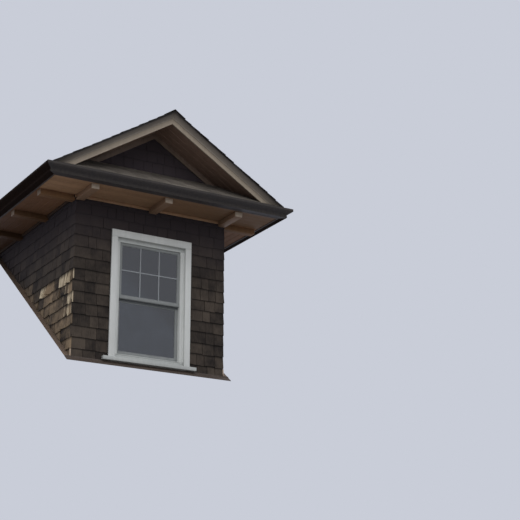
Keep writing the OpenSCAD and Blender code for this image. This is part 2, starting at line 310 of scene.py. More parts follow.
@dataclass(frozen=True)
class CedarShingle(Finish):
    """Sawn cedar shingles under a worn dark stain.

    The stain is still near black under the eaves, darkened further there as painted shade, and has
    faded to brown further down. Each butt has a painted shadow under it. Where the weather has taken
    it off, it goes in streaks along the grain, down to pale bare wood.
    """

    name: str = "cedar_shingle_worn_stain"
    # Near black where the stain is kept under the eaves, darkened further as painted shade from the eaves
    kept_stain_and_shade: str = "#373133"
    # Painted shadow under each butt, with some grime
    grime: str = "#100e0d"
    dark: str = "#221e1c"
    light: str = "#534a41"
    brown: str = "#8c7962"
    pale: str = "#d2c3a6"
    kept_above: float = 1.78
    faded_below: float = 0.95
    fibre_w: float = 5 * MM
    fibre_l: float = 80 * MM
    sliver_w: float = 22 * MM
    sliver_l: float = 200 * MM
    relief: float = 1.2 * MM

    def shade(self, g: Graph) -> Socket:
        """Add the nodes: the stain, thin stain over brown wood, slivers of bare wood, painted shadow and
        grime under each butt.

        Args:
            g: The material's node tree.

        Returns:
            The shader.
        """
        lay = g.add("Attribute", output="Vector", attribute_name="lay")
        tone, bleach, rise, rim = (g.add("Attribute", output="Fac", attribute_name=name)
                                   for name in ("tone", "bleach", "rise", "rim"))
        fibres = g.add("Mapping", {
            "Vector": lay, "Scale": (1 / self.fibre_l, 1 / self.fibre_w, 1 / self.fibre_w)})
        grain = g.add("TexNoise", {"Vector": fibres, "Scale": 1.0, "Detail": 5.0, "Roughness": 0.62})
        place = g.add("TexCoord", output="Object")
        blotch = g.add("TexNoise", {"Vector": place, "Scale": 7.0, "Detail": 4.0, "Roughness": 0.6})
        mixed = g.add("Math", {0: tone, 1: 0.55, 2: blotch}, operation="MULTIPLY_ADD")
        mixed = g.add("Math", {0: grain, 1: 0.9, 2: mixed}, operation="MULTIPLY_ADD")
        depth = g.add("MapRange", {"Value": mixed, "From Min": 0.82, "From Max": 1.65})
        faded = g.add("ValToRGB", {"Fac": depth}, stops=[(0.0, self.dark), (1.0, self.light)])
        height = g.add("SeparateXYZ", {"Vector": place}, "Z")
        # Darker towards the top: the kept stain, and painted shade under the eaves
        fade = g.add("MapRange", {
            "Value": height, "From Min": self.kept_above, "From Max": self.faded_below,
        }, interpolation_type="SMOOTHSTEP")
        colour = g.add("Mix", {0: fade, 6: linear(self.kept_stain_and_shade), 7: faded}, 2, data_type="RGBA")
        thin = g.add("Math", {0: grain, 1: 0.7, 2: bleach}, operation="MULTIPLY_ADD")
        thin = g.add("MapRange", {
            "Value": thin, "From Min": 0.62, "From Max": 1.05}, interpolation_type="SMOOTHSTEP")
        brown = g.add("ValToRGB", {"Fac": depth}, stops=[(0.05, self.dark), (0.8, self.brown)])
        colour = g.add("Mix", {0: thin, 6: colour, 7: brown}, 2, data_type="RGBA")
        strips = g.add("Mapping", {
            "Vector": lay, "Scale": (1 / self.sliver_l, 1 / self.sliver_w, 1 / self.sliver_w)})
        sliver = g.add("TexNoise", {"Vector": strips, "Scale": 1.0, "Detail": 2.0, "Roughness": 0.5})
        edge = g.add("MapRange", {
            "Value": rim, "From Min": 0.45, "From Max": 1.0, "To Min": -0.05, "To Max": 0.2})
        gone = g.add("Math", {0: sliver, 1: bleach}, operation="ADD")
        gone = g.add("Math", {0: gone, 1: edge}, operation="ADD")
        gone = g.add("MapRange", {
            "Value": gone, "From Min": 1.72, "From Max": 1.86}, interpolation_type="SMOOTHSTEP")
        wood = g.add("ValToRGB", {"Fac": grain}, stops=[(0.3, self.brown), (0.55, self.pale)])
        colour = g.add("Mix", {0: gone, 6: colour, 7: wood}, 2, data_type="RGBA")
        # Painted shadow under each butt, partly grime: deepest on bare shingles, weaker where the stain is
        # kept
        start = g.add("MapRange", {"Value": bleach, "From Min": 0.4, "To Min": 0.8, "To Max": 0.6})
        deepest_shadow = g.add("MapRange", {"Value": bleach, "From Min": 0.4, "To Min": 0.75, "To Max": 0.97})
        under = g.add("MapRange", {"Value": rise, "From Min": start, "From Max": 1.0, "To Max": deepest_shadow})
        worn = g.add("MapRange", {"Value": fade, "To Min": 0.2})
        under = g.add("Math", {0: under, 1: worn}, operation="MULTIPLY")
        colour = g.add("Mix", {0: under, 6: colour, 7: linear(self.grime)}, 2, data_type="RGBA")
        bump = g.add("Bump", {"Strength": 0.8, "Distance": self.relief, "Height": grain})
        return g.add("BsdfPrincipled", {
            "Base Color": colour, "Roughness": 0.92, "Normal": bump, "Specular IOR Level": 0.2})


@dataclass(frozen=True)
class AsphaltFelt(Finish):
    """Felt soaked in asphalt: near black, dull, mottled brown where it has dried out."""

    wet: str = "#1b1918"
    dry: str = "#2d2824"
    relief: float = 1 * MM

    def shade(self, g: Graph) -> Socket:
        """Add the nodes.

        Args:
            g: The material's node tree.

        Returns:
            The shader.
        """
        place = g.add("TexCoord", output="Object")
        patch = g.add("TexNoise", {"Vector": place, "Scale": 12.0, "Detail": 6.0, "Roughness": 0.7})
        colour = g.add("ValToRGB", {"Fac": patch}, stops=[(0.3, self.wet), (0.7, self.dry)])
        bump = g.add("Bump", {"Strength": 0.5, "Distance": self.relief, "Height": patch})
        return g.add("BsdfPrincipled", {
            "Base Color": colour, "Roughness": 0.9, "Normal": bump, "Specular IOR Level": 0.2})


@dataclass(frozen=True)
class AsphaltShingle(Finish):
    """Laminated asphalt shingles: dull mineral granules in blended browns, each tab its own tone."""

    dark: str
    middle: str
    light: str
    # Real granules are about 1 mm: they are drawn at 4 mm, which is as coarse as they need to show
    granule: float = 4 * MM
    relief: float = 0.8 * MM
    contrast: float = 0.55

    def shade(self, g: Graph) -> Socket:
        """Add the nodes.

        Args:
            g: The material's node tree.

        Returns:
            The shader.
        """
        tone = g.add("Attribute", output="Fac", attribute_name="tone")
        place = g.add("TexCoord", output="Object")
        grit = g.add("TexNoise", {
            "Vector": place, "Scale": 1 / self.granule, "Detail": 2.0, "Roughness": 0.7})
        patch = g.add("TexNoise", {"Vector": place, "Scale": 3.5, "Detail": 3.0})
        mixed = g.add("Math", {0: tone, 1: self.contrast, 2: patch}, operation="MULTIPLY_ADD")
        mixed = g.add("Math", {0: mixed, 1: grit}, operation="ADD")
        depth = g.add("MapRange", {"Value": mixed, "From Min": 0.75, "From Max": 1.25 + self.contrast})
        colour = g.add("ValToRGB", {"Fac": depth}, stops=[
            (0.0, self.dark), (0.5, self.middle), (1.0, self.light)])
        bump = g.add("Bump", {"Strength": 0.8, "Distance": self.relief, "Height": grit})
        return g.add("BsdfPrincipled", {
            "Base Color": colour, "Roughness": 0.95, "Normal": bump, "Specular IOR Level": 0.2})


@dataclass(frozen=True)
class HousePaint(Finish):
    """Brushed oil paint on softwood boards: a soft sheen, faint grain, rain streaks and grime in patches."""

    clean: str
    grimy: str
    roughness: float = 0.6
    grime: float = 0.5
    gloss: float = 0.35
    # Colour of painted shade where the drop attribute is low; on the barge and the crown it also stands for
    # grime
    painted_shade_colour: str = ""
    relief: float = 0.35 * MM
    # Repeats in a metre: fibres 250 mm long and 4.5 mm wide, streaks 30 mm wide and 330 mm long
    fibres: tuple[float, float, float] = (4.0, 220.0, 220.0)
    streaks: tuple[float, float, float] = (34.0, 34.0, 3.0)

    def shade(self, g: Graph) -> Socket:
        """Add the nodes, with painted shade where the drop attribute is low if the paint has any.

        Args:
            g: The material's node tree.

        Returns:
            The shader.
        """
        lay = g.add("Attribute", output="Vector", attribute_name="lay")
        tone = g.add("Attribute", output="Fac", attribute_name="tone")
        place = g.add("TexCoord", output="Object")
        fibres = g.add("Mapping", {"Vector": lay, "Scale": self.fibres})
        grain = g.add("TexNoise", {"Vector": fibres, "Scale": 1.0, "Detail": 4.0, "Roughness": 0.6})
        rain = g.add("Mapping", {"Vector": place, "Scale": self.streaks})
        streak = g.add("TexNoise", {"Vector": rain, "Scale": 1.0, "Detail": 3.0, "Roughness": 0.6})
        patch = g.add("TexNoise", {"Vector": place, "Scale": 4.0, "Detail": 5.0, "Roughness": 0.6})
        mixed = g.add("Math", {0: streak, 1: patch}, operation="ADD")
        mixed = g.add("Math", {0: tone, 1: 0.35, 2: mixed}, operation="MULTIPLY_ADD")
        soil = g.add("MapRange", {
            "Value": mixed, "From Min": 0.85, "From Max": 1.55, "To Max": self.grime})
        colour = g.add("Mix", {0: soil, 6: linear(self.clean), 7: linear(self.grimy)}, 2, data_type="RGBA")
        # Painted shade, darkest where the drop attribute is 0
        if self.painted_shade_colour:
            drop = g.add("Attribute", output="Fac", attribute_name="drop")
            edge = g.add("MapRange", {"Value": drop, "From Min": 0.2, "From Max": 1.0})
            colour = g.add("Mix", {0: edge, 6: linear(self.painted_shade_colour), 7: colour}, 2, data_type="RGBA")
        sheen = g.add("MapRange", {
            "Value": patch, "To Min": self.roughness - 0.08, "To Max": self.roughness + 0.12})
        bump = g.add("Bump", {"Strength": 0.5, "Distance": self.relief, "Height": grain})
        return g.add("BsdfPrincipled", {
            "Base Color": colour, "Roughness": sheen, "Normal": bump, "Specular IOR Level": self.gloss})


@dataclass(frozen=True)
class SawnLumber(Finish):
    """Rough sawn fir, bare and aged: warm brown with dark grain lines and saw marks across."""

    dark: str
    light: str
    relief: float = 0.6 * MM
    # Repeats in a metre: grain lines 625 mm long and 17 mm wide
    rings: tuple[float, float, float] = (1.6, 60.0, 60.0)

    def shade(self, g: Graph) -> Socket:
        """Add the nodes.

        Args:
            g: The material's node tree.

        Returns:
            The shader.
        """
        lay = g.add("Attribute", output="Vector", attribute_name="lay")
        tone = g.add("Attribute", output="Fac", attribute_name="tone")
        rings = g.add("Mapping", {"Vector": lay, "Scale": self.rings})
        ring = g.add("TexNoise", {
            "Vector": rings, "Scale": 1.0, "Detail": 5.0, "Roughness": 0.6, "Distortion": 0.6})
        saw = g.add("TexWave", {
            "Vector": lay, "Scale": 90.0, "Distortion": 2.0, "Detail": 2.0, "Detail Scale": 1.5}, 1)
        mixed = g.add("Math", {0: tone, 1: 0.45, 2: ring}, operation="MULTIPLY_ADD")
        depth = g.add("MapRange", {"Value": mixed, "From Min": 0.35, "From Max": 1.05})
        colour = g.add("ValToRGB", {"Fac": depth}, stops=[(0.0, self.dark), (1.0, self.light)])
        height = g.add("Math", {0: saw, 1: 0.35, 2: ring}, operation="MULTIPLY_ADD")
        bump = g.add("Bump", {"Strength": 0.6, "Distance": self.relief, "Height": height})
        return g.add("BsdfPrincipled", {
            "Base Color": colour, "Roughness": 0.82, "Normal": bump, "Specular IOR Level": 0.3})


@dataclass(frozen=True)
class EnamelledMetal(Finish):
    """Roll-formed sheet metal with a baked enamel: even, satin, dusty where rain dries on it."""

    enamel: str
    dust: str
    roughness: float = 0.42
    metallic: float = 0.0
    gloss: float = 0.5
    relief: float = 2 * MM
    # Repeats in a metre: dried drips 25 mm wide and 200 mm long
    drips: tuple[float, float, float] = (40.0, 40.0, 5.0)

    def shade(self, g: Graph) -> Socket:
        """Add the nodes.

        Args:
            g: The material's node tree.

        Returns:
            The shader.
        """
        place = g.add("TexCoord", output="Object")
        patch = g.add("TexNoise", {"Vector": place, "Scale": 7.0, "Detail": 6.0, "Roughness": 0.65})
        drips = g.add("Mapping", {"Vector": place, "Scale": self.drips})
        drip = g.add("TexNoise", {"Vector": drips, "Scale": 1.0, "Detail": 3.0})
        mixed = g.add("Math", {0: patch, 1: drip}, operation="ADD")
        soil = g.add("MapRange", {"Value": mixed, "From Min": 0.85, "From Max": 1.4, "To Max": 0.6})
        colour = g.add("Mix", {0: soil, 6: linear(self.enamel), 7: linear(self.dust)}, 2, data_type="RGBA")
        sheen = g.add("MapRange", {
            "Value": patch, "To Min": self.roughness - 0.1, "To Max": self.roughness + 0.25})
        ripple = g.add("TexNoise", {"Vector": place, "Scale": 9.0, "Detail": 1.0})
        bump = g.add("Bump", {"Strength": 0.4, "Distance": self.relief, "Height": ripple})
        return g.add("BsdfPrincipled", {
            "Base Color": colour, "Roughness": sheen, "Metallic": self.metallic, "Normal": bump,
            "Specular IOR Level": self.gloss})


@dataclass(frozen=True)
class InsulatingGlass(Finish):
    """A sealed double glass unit: two sheets that mirror the sky, tinted dark as painted shade for a dim room
    behind them, a little wavy.
    """

    name: str = "insulating_glass"
    # Painted shade: a dark tint that stands for the dim room behind the glass
    dim_room_tint: str = "#1b2024"
    dust: str = "#292e33"
    relief: float = 4 * MM

    def shade(self, g: Graph) -> Socket:
        """Add the nodes.

        Args:
            g: The material's node tree.

        Returns:
            The shader.
        """
        place = g.add("TexCoord", output="Object")
        film = g.add("TexNoise", {"Vector": place, "Scale": 6.0, "Detail": 5.0, "Roughness": 0.6})
        haze = g.add("MapRange", {
            "Value": film, "From Min": 0.3, "From Max": 0.8, "To Min": 0.1, "To Max": 0.24})
        dim_room_tint = g.add("ValToRGB", {"Fac": film}, stops=[(0.35, self.dim_room_tint), (0.7, self.dust)])
        wave = g.add("TexNoise", {"Vector": place, "Scale": 2.5, "Detail": 1.0})
        bump = g.add("Bump", {"Strength": 0.3, "Distance": self.relief, "Height": wave})
        return g.add("BsdfPrincipled", {
            "Base Color": dim_room_tint, "Roughness": haze, "IOR": 1.52, "Transmission Weight": 1.0,
            "Coat Weight": 1.0, "Coat Roughness": 0.14, "Coat IOR": 1.72, "Normal": bump})


def made(finish: Finish) -> Material:
    """Return a field that makes a finish's material when the finishes are made."""
    return field(default_factory=finish.mix)


@dataclass(frozen=True)
class Finishes:
    """Every finish of the dormer, made anew with each object of this class."""

    cedar: Material = made(CedarShingle())
    # The gable's copy of the stain is painted lighter where it is kept: painted light that offsets the shade
    # of the overhang
    lit_gable_cedar: Material = made(CedarShingle("cedar_shingle_gable_painted_lighter", kept_stain_and_shade="#423b3e"))
    felt: Material = made(AsphaltFelt("asphalt_building_felt"))
    roofing: Material = made(AsphaltShingle(
        "asphalt_shingle_brown_blend", "#4a3e34", "#6f5d4c", "#8c7a66", contrast=0.4))
    pent_roofing: Material = made(AsphaltShingle(
        "asphalt_shingle_taupe", "#433e38", "#5f5951", "#766f65", contrast=0.3))
    cut_edge: Material = made(AsphaltFelt("asphalt_shingle_cut_edge", "#201d1b", "#332d28"))
    brown: Material = made(HousePaint("oil_paint_dark_brown", "#4a4039", "#332c27"))
    # The soffits darken as painted shade: the front one towards its right end, the side ones towards their
    # back ends
    soffit: Material = made(HousePaint(
        "oil_paint_soffit_brown", "#b48e6e", "#796049", gloss=0.15, painted_shade_colour="#755b44"))
    # The side soffits are a darker copy of the soffit paint, as painted shade
    side_soffit: Material = made(HousePaint(
        "oil_paint_soffit_brown_painted_shade", "#9c7356", "#604835", gloss=0.1, painted_shade_colour="#473224"))
    rake_soffit: Material = made(HousePaint("oil_paint_rake_soffit_brown", "#9b8070", "#6d5749"))
    front_mould: Material = made(HousePaint("oil_paint_front_mould_brown", "#a58264", "#6f5843"))
    # The side bed moulds are painted dark as painted shade where the soffit meets the wall
    shade_dark_mould: Material = made(HousePaint("oil_paint_mould_brown_painted_shade", "#3f3128", "#2a211b", gloss=0.1))
    frieze: Material = made(HousePaint("oil_paint_frieze_brown", "#7f6d5f", "#55483b"))
    # The tails' bodies are a darker copy of the soffit paint, as painted shade on their sides
    tail: Material = made(HousePaint("oil_paint_tail_brown", "#8e7057", "#614d3b"))
    # The side tails are darker copies of the tails' paints, as painted shade, and darken further towards the
    # back
    shaded_side_tail: Material = made(HousePaint(
        "oil_paint_tail_brown_painted_shade", "#8c6a4c", "#5b4431", gloss=0.1, painted_shade_colour="#3e2c20"))
    tail_end: Material = made(HousePaint("oil_paint_tail_buff", "#b9a996", "#8f7f6e"))
    shaded_side_tail_end: Material = made(HousePaint("oil_paint_tail_buff_painted_shade", "#93806f", "#66574b"))
    # The barge and the crown darken along their upper edges with painted shade and some grime under the
    # roof's edge; the crown is also a darker copy of the barge's paint, as painted shade
    barge: Material = made(HousePaint("oil_paint_barge_buff", "#a89b88", "#85786a", painted_shade_colour="#857a6b"))
    crown: Material = made(HousePaint("oil_paint_crown_taupe", "#988f83", "#756d63", painted_shade_colour="#645d56"))
    window: Material = made(HousePaint(
        "exterior_enamel_white", "#d8dad6", "#a7aaa4", roughness=0.38, grime=0.35))
    # A greyer white for the sill and the frame's foot and head; on the head it is painted shadow
    sill: Material = made(HousePaint(
        "exterior_enamel_white_greyer", "#bcbfbb", "#8f928e", roughness=0.45, grime=0.4))
    # The sashes' grey is the window's white darkened as painted shade from the casing
    sash: Material = made(HousePaint("vinyl_grey_sash", "#8b8e8c", "#646766", roughness=0.4, grime=0.45))
    # Painted shade on the lower sash's rail under the upper sash
    shaded_check_rail: Material = made(HousePaint("vinyl_grey_sash_painted_shade", "#5b5e5f", "#434647", roughness=0.5))
    bar: Material = made(HousePaint("vinyl_grey_bar", "#979b9d", "#7a7e80", roughness=0.4, grime=0.4))
    lock: Material = made(EnamelledMetal(
        "zinc_sash_lock", "#b6b3aa", "#8d8a82", roughness=0.35, metallic=0.7))
    fir: Material = made(SawnLumber("fir_framing_aged", "#6b5237", "#a98a62"))
    boards: Material = made(SawnLumber("fir_sheathing_aged", "#5f4a34", "#94785a"))
    gutter: Material = made(EnamelledMetal(
        "aluminium_enamel_brown_black", "#2e2926", "#453f39", roughness=0.5, gloss=0.3))
    # The side gutters are a darker copy of the gutters' enamel, as painted shade
    shaded_side_gutter: Material = made(EnamelledMetal(
        "aluminium_enamel_brown_painted_shade", "#1b120e", "#2b201a", roughness=0.8, gloss=0.03))
    drip_edge: Material = made(EnamelledMetal(
        "aluminium_drip_edge_black_brown", "#1f1b18", "#302a26", gloss=0.2))
    flashing: Material = made(EnamelledMetal(
        "galvanised_steel_painted_brown", "#443930", "#5b4d43", roughness=0.6))
    # The step flashings are a lighter copy of the flashing paint: painted light that offsets the shade along
    # the side walls, and a tan close to the roof's
    lit_step_metal: Material = made(EnamelledMetal(
        "galvanised_steel_lightened_tan", "#6a5a4c", "#877361", roughness=0.6))
    corner_metal: Material = made(EnamelledMetal(
        "galvanised_steel_worn_bare", "#b9a58f", "#8a7763", roughness=0.5))
    glass: Material = made(InsulatingGlass())


def islands(bm: BMesh) -> Iterator[list[Vert]]:
    """Tell the separate slabs or boards of a mesh apart.

    Args:
        bm: The mesh.

    Yields:
        The vertices of each slab or board.
    """
    seen: set[Vert] = set()
    for start in bm.verts:
        if start in seen:
            continue
        seen.add(start)
        island = [start]
        for vert in island:
            for edge in vert.link_edges:
                other = edge.other_vert(vert)
                if other not in seen:
                    seen.add(other)
                    island.append(other)
        yield island


def merged_copy(node: str) -> BMesh:
    """Copy a solid's mesh, with its doubles merged and its flat faces whole.

    Args:
        node: The solid's name.

    Returns:
        A closed mesh that may be shaped further.
    """
    doubles = 0.02 * MM
    flat = math.radians(0.5)
    bm = bmesh.new()
    bm.from_mesh(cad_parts[node].data)
    bmesh.ops.remove_doubles(bm, verts=bm.verts, dist=doubles)
    bmesh.ops.dissolve_limit(bm, angle_limit=flat, verts=bm.verts, edges=bm.edges)
    return bm


def round_over(bm: BMesh, edges: list[bmesh.types.BMEdge], width: float, segments: int) -> None:
    """Round some edges over, as far as a width from each and in so many steps."""
    bmesh.ops.bevel(bm, geom=edges, offset=width, offset_type="OFFSET", segments=segments, profile=0.5,
                    affect="EDGES", material=-1, clamp_overlap=True)


def ease_edges(bm: BMesh, width: float, segments: int = 2, sharp: float = 40.0) -> None:
    """Round the sharp edges over.

    Args:
        bm: The mesh.
        width: How far the rounding reaches from each edge.
        segments: Steps of the rounding.
        sharp: Angle in degrees past which an edge counts as sharp.
    """
    limit = math.radians(sharp)
    edges = [edge for edge in bm.edges if len(edge.link_faces) == 2 and edge.calc_face_angle() > limit]
    round_over(bm, edges, width, segments)


def shade_by_angle(bm: BMesh, sharp: float = 32.0) -> None:
    """Shade a mesh smooth, apart from its sharp edges.

    Args:
        bm: The mesh.
        sharp: Angle in degrees from which an edge counts as sharp.
    """
    limit = math.radians(sharp)
    for one in bm.faces:
        one.smooth = True
    for edge in bm.edges:
        edge.smooth = len(edge.link_faces) == 2 and edge.calc_face_angle() < limit


def cut_along(bm: BMesh, point: Vector, normal: Vector, merge: float = 0.0, clear: bool = False) -> None:
    """Put an edge all round a mesh where a plane meets it.

    Args:
        bm: The mesh.
        point: A point on the plane.
        normal: The plane's normal.
        merge: How near to the plane a vertex counts as on it.
        clear: Whether what lies beyond the plane goes.
    """
    geometry = [*bm.verts, *bm.edges, *bm.faces]
    bmesh.ops.bisect_plane(bm, geom=geometry, dist=merge, plane_co=point, plane_no=normal, clear_outer=clear)


def score_level(bm: BMesh, z: float) -> None:
    """Put an edge all round a mesh at a height, where its paint changes."""
    cut_along(bm, UP * z, UP, merge=0.1 * MM)


def cut_away(bm: BMesh, point: Vector, normal: Vector) -> None:
    """Cut off what lies beyond a plane and close the cuts.

    Args:
        bm: The mesh of closed slabs.
        point: A point on the plane.
        normal: The direction in which everything goes.
    """
    cut_along(bm, point, normal, merge=0.001 * MM, clear=True)
    open_edges = [edge for edge in bm.edges if len(edge.link_faces) == 1]
    bmesh.ops.holes_fill(bm, edges=open_edges, sides=0)


def cut_on_house_roof(bm: BMesh, clearance: float = 0.0) -> None:
    """Cut a mesh along the house roof, or so far above it."""
    cut_away(bm, BACK * LAYOUT.front - UNDER_HOUSE * clearance, UNDER_HOUSE)


def anywhere(rng: random.Random) -> Vector:
    """Return a far-off place in the grain, so that no two boards show the same part of it."""
    return Vector([rng.uniform(0, 9) for _ in range(3)])


def lay_grain(bm: BMesh, run: Run, rng: random.Random) -> None:
    """Give each board its own grain and tone.

    Args:
        bm: The mesh of one or more boards.
        run: The direction of the grain.
        rng: The source of the offsets and tones.
    """
    lay = bm.verts.layers.float_vector.new("lay")
    tone = bm.verts.layers.float.new("tone")
    turn = run.turn()
    for island in islands(bm):
        shift = anywhere(rng)
        value = rng.random()
        for vert in island:
            vert[lay] = turn @ vert.co + shift
            vert[tone] = value


def lay_shade_falloff(bm: BMesh, measure: Callable[[Vector], float]) -> None:
    """Tell how far each place lies from the painted shade, from 0 in it to 1 well away from it.

    Args:
        bm: The mesh.
        measure: Gives that distance from a place.
    """
    drop = bm.verts.layers.float.new("drop")
    for vert in bm.verts:
        vert[drop] = measure(vert.co)


def dress_boards(bm: BMesh, ease: float, run: Run, rng: random.Random, segments: int = 2) -> None:
    """Ease the edges of some boards, shade them smooth and lay their grain.

    Args:
        bm: The mesh of one or more boards.
        ease: How far the rounding reaches from each edge.
        run: The direction of the grain.
        rng: The source of the grain's offsets and tones.
        segments: Steps of the rounding.
    """
    ease_edges(bm, ease, segments)
    shade_by_angle(bm)
    lay_grain(bm, run, rng)


def append(bm: BMesh, other: BMesh) -> None:
    """Add a mesh to another one and free it.

    Args:
        bm: The mesh that grows.
        other: The mesh that goes into it.
    """
    mesh = bpy.data.meshes.new("appended")
    other.to_mesh(mesh)
    other.free()
    bm.from_mesh(mesh)
    bpy.data.meshes.remove(mesh)


class Slabs:
    """A mesh that grows by one small slab at a time.

    Each slab is a unit block, cut a few times along and up, whose corners a shape function places.
    """

    def __init__(self, cuts_along: int = 0, cuts_up: int = 0) -> None:
        """Make the unit block that every slab is a copy of.

        Args:
            cuts_along: Number of cuts across its length.
            cuts_up: Number of cuts across its height.
        """
        block = bmesh.new()
        bmesh.ops.create_cube(block, size=1.0, matrix=Matrix.Translation((0.5, 0.5, 0.5)))
        for axis, cuts in ((ACROSS, cuts_along), (BACK, cuts_up)):
            for i in range(cuts):
                cut_along(block, axis * (i + 1) / (cuts + 1), axis)
        self.block = bpy.data.meshes.new("block")
        block.to_mesh(self.block)
        block.free()
        self.bm = bmesh.new()

    def add(self, shape: Shape, trims: Sequence[Trim] = (), finish: int = 0) -> list[Vert]:
        """Add one slab.

        Args:
            shape: Gives the place of a point of the unit block from how far along, up and out it lies.
            trims: Planes that the slab is cut along, if it reaches past them.
            finish: Number of the slab's finish on its piece.

        Returns:
            The new vertices.
        """
        slab = bmesh.new()
        slab.from_mesh(self.block)
        for vert in slab.verts:
            vert.co = shape(*vert.co)
        for trim in trims:
            if any((vert.co - trim.point).dot(trim.outward) > 0 for vert in slab.verts):
                cut_away(slab, trim.point, trim.outward)
        for one in slab.faces:
            one.material_index = finish
        start = len(self.bm.verts)
        append(self.bm, slab)
        self.bm.verts.ensure_lookup_table()
        return self.bm.verts[start:]

    def box(self, low: Sequence[float], high: Sequence[float]) -> None:
        """Add a plain box between two corners."""
        self.add(lambda *at: Vector([a + share * (b - a) for a, b, share in zip(low, high, at)]))

    def panel(self, face: Face, along: Span, up: Span, out: Span, finish: int = 0) -> None:
        """Add a plain slab on a face.

        Args:
            face: The face.
            along: Its two ends along the face.
            up: Its lower and its upper edge.
            out: Its inner and its outer side.
            finish: Number of the slab's finish on its piece.
        """
        spans = (along, up, out)
        self.add(lambda *at: face.point(*(a + share * (b - a) for (a, b), share in zip(spans, at))),
                 finish=finish)


@dataclass
class Piece:
    """One visible piece: its mesh, its finishes and the solids that it stands for."""

    name: str
    slot: Slot
    finishes: Sequence[Material]
    bm: BMesh
    nodes: tuple[str, ...] = ()

    def place(self) -> bpy.types.Object:
        """Make the object, fix it to the dormer and report it.

        Returns:
            The finished object.
        """
        mesh = bpy.data.meshes.new(self.name)
        self.bm.to_mesh(mesh)
        self.bm.free()
        for finish in self.finishes:
            mesh.materials.append(finish)
        piece = bpy.data.objects.new(self.name, mesh)
        bpy.context.scene.collection.objects.link(piece)
        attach(piece, "root")
        if self.nodes:
            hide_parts(*self.nodes)
        mesh.calc_loop_triangles()
        LOG.info("%s: %d triangles", self.name, len(mesh.loop_triangles))
        return piece


def board_from(node: str, slot: Slot, finish: Material, run: Run, rng: random.Random,
               ease: float = 2 * MM) -> None:
    """Make a board with eased edges in the place of a solid.

    Args:
        node: The solid's name.
        slot: The material slot.
        finish: The material.
        run: The direction of the grain.
        rng: The source of offsets and tones.
        ease: How far the rounding reaches from each edge.
    """
    bm = merged_copy(node)
    dress_boards(bm, ease, run, rng)
    Piece(f"{node}_eased", slot, [finish], bm, (node,)).place()


@dataclass(frozen=True)
class Coursing:
    """The heights of the courses of wall shingles, which the front and the sides share."""

    first: float = 97 * MM
    exposure: float = 125 * MM
    wobble: float = 4 * MM
    least: float = 20 * MM
    seed: int = 5

    def butts(self, top: float) -> list[float]:
        """Work out where the courses start.

        Args:
            top: The height that the top course ends at.

        Returns:
            The height of each course's lower edge, the starter course's first.
        """
        rng = random.Random(self.seed)
        heights = [0.0]
        height = self.first
        while height < top - self.least:
            heights.append(height + rng.uniform(-self.wobble, self.wobble))
            height += self.exposure
        return heights


@dataclass(frozen=True)
class Mark:
    """A patch of a side wall that the weather has worn: its edges in millimetres, and how bare it is."""

    front: float
    back: float
    low: float
    high: float
    bare: float

    def covers(self, place: Vector) -> bool:
        """Return whether a place lies in the patch."""
        return self.front < place.y / MM < self.back and self.low < place.z / MM < self.high


# As they show in the photograph, on the left side near its front corner
LEFT_MARKS = (
    Mark(-60, 240, 857, 975, 1.2),
    Mark(240, 390, 857, 975, 0.7),
    Mark(390, 560, 857, 975, 1.0),
    Mark(560, 700, 857, 975, 1.28),
    Mark(700, 800, 857, 975, 1.34),
    Mark(-60, 280, 720, 857, 1.14),
    Mark(280, 760, 720, 857, 0.7),
    Mark(-60, 190, 597, 720, 1.34),
    Mark(190, 680, 597, 720, 0.5),
    Mark(-60, 180, 474, 597, 1.34),
    Mark(180, 480, 474, 597, 0.7),
    Mark(-60, 600, 352, 474, 0.65),
    Mark(-60, 600, 0, 352, 0.7),
)


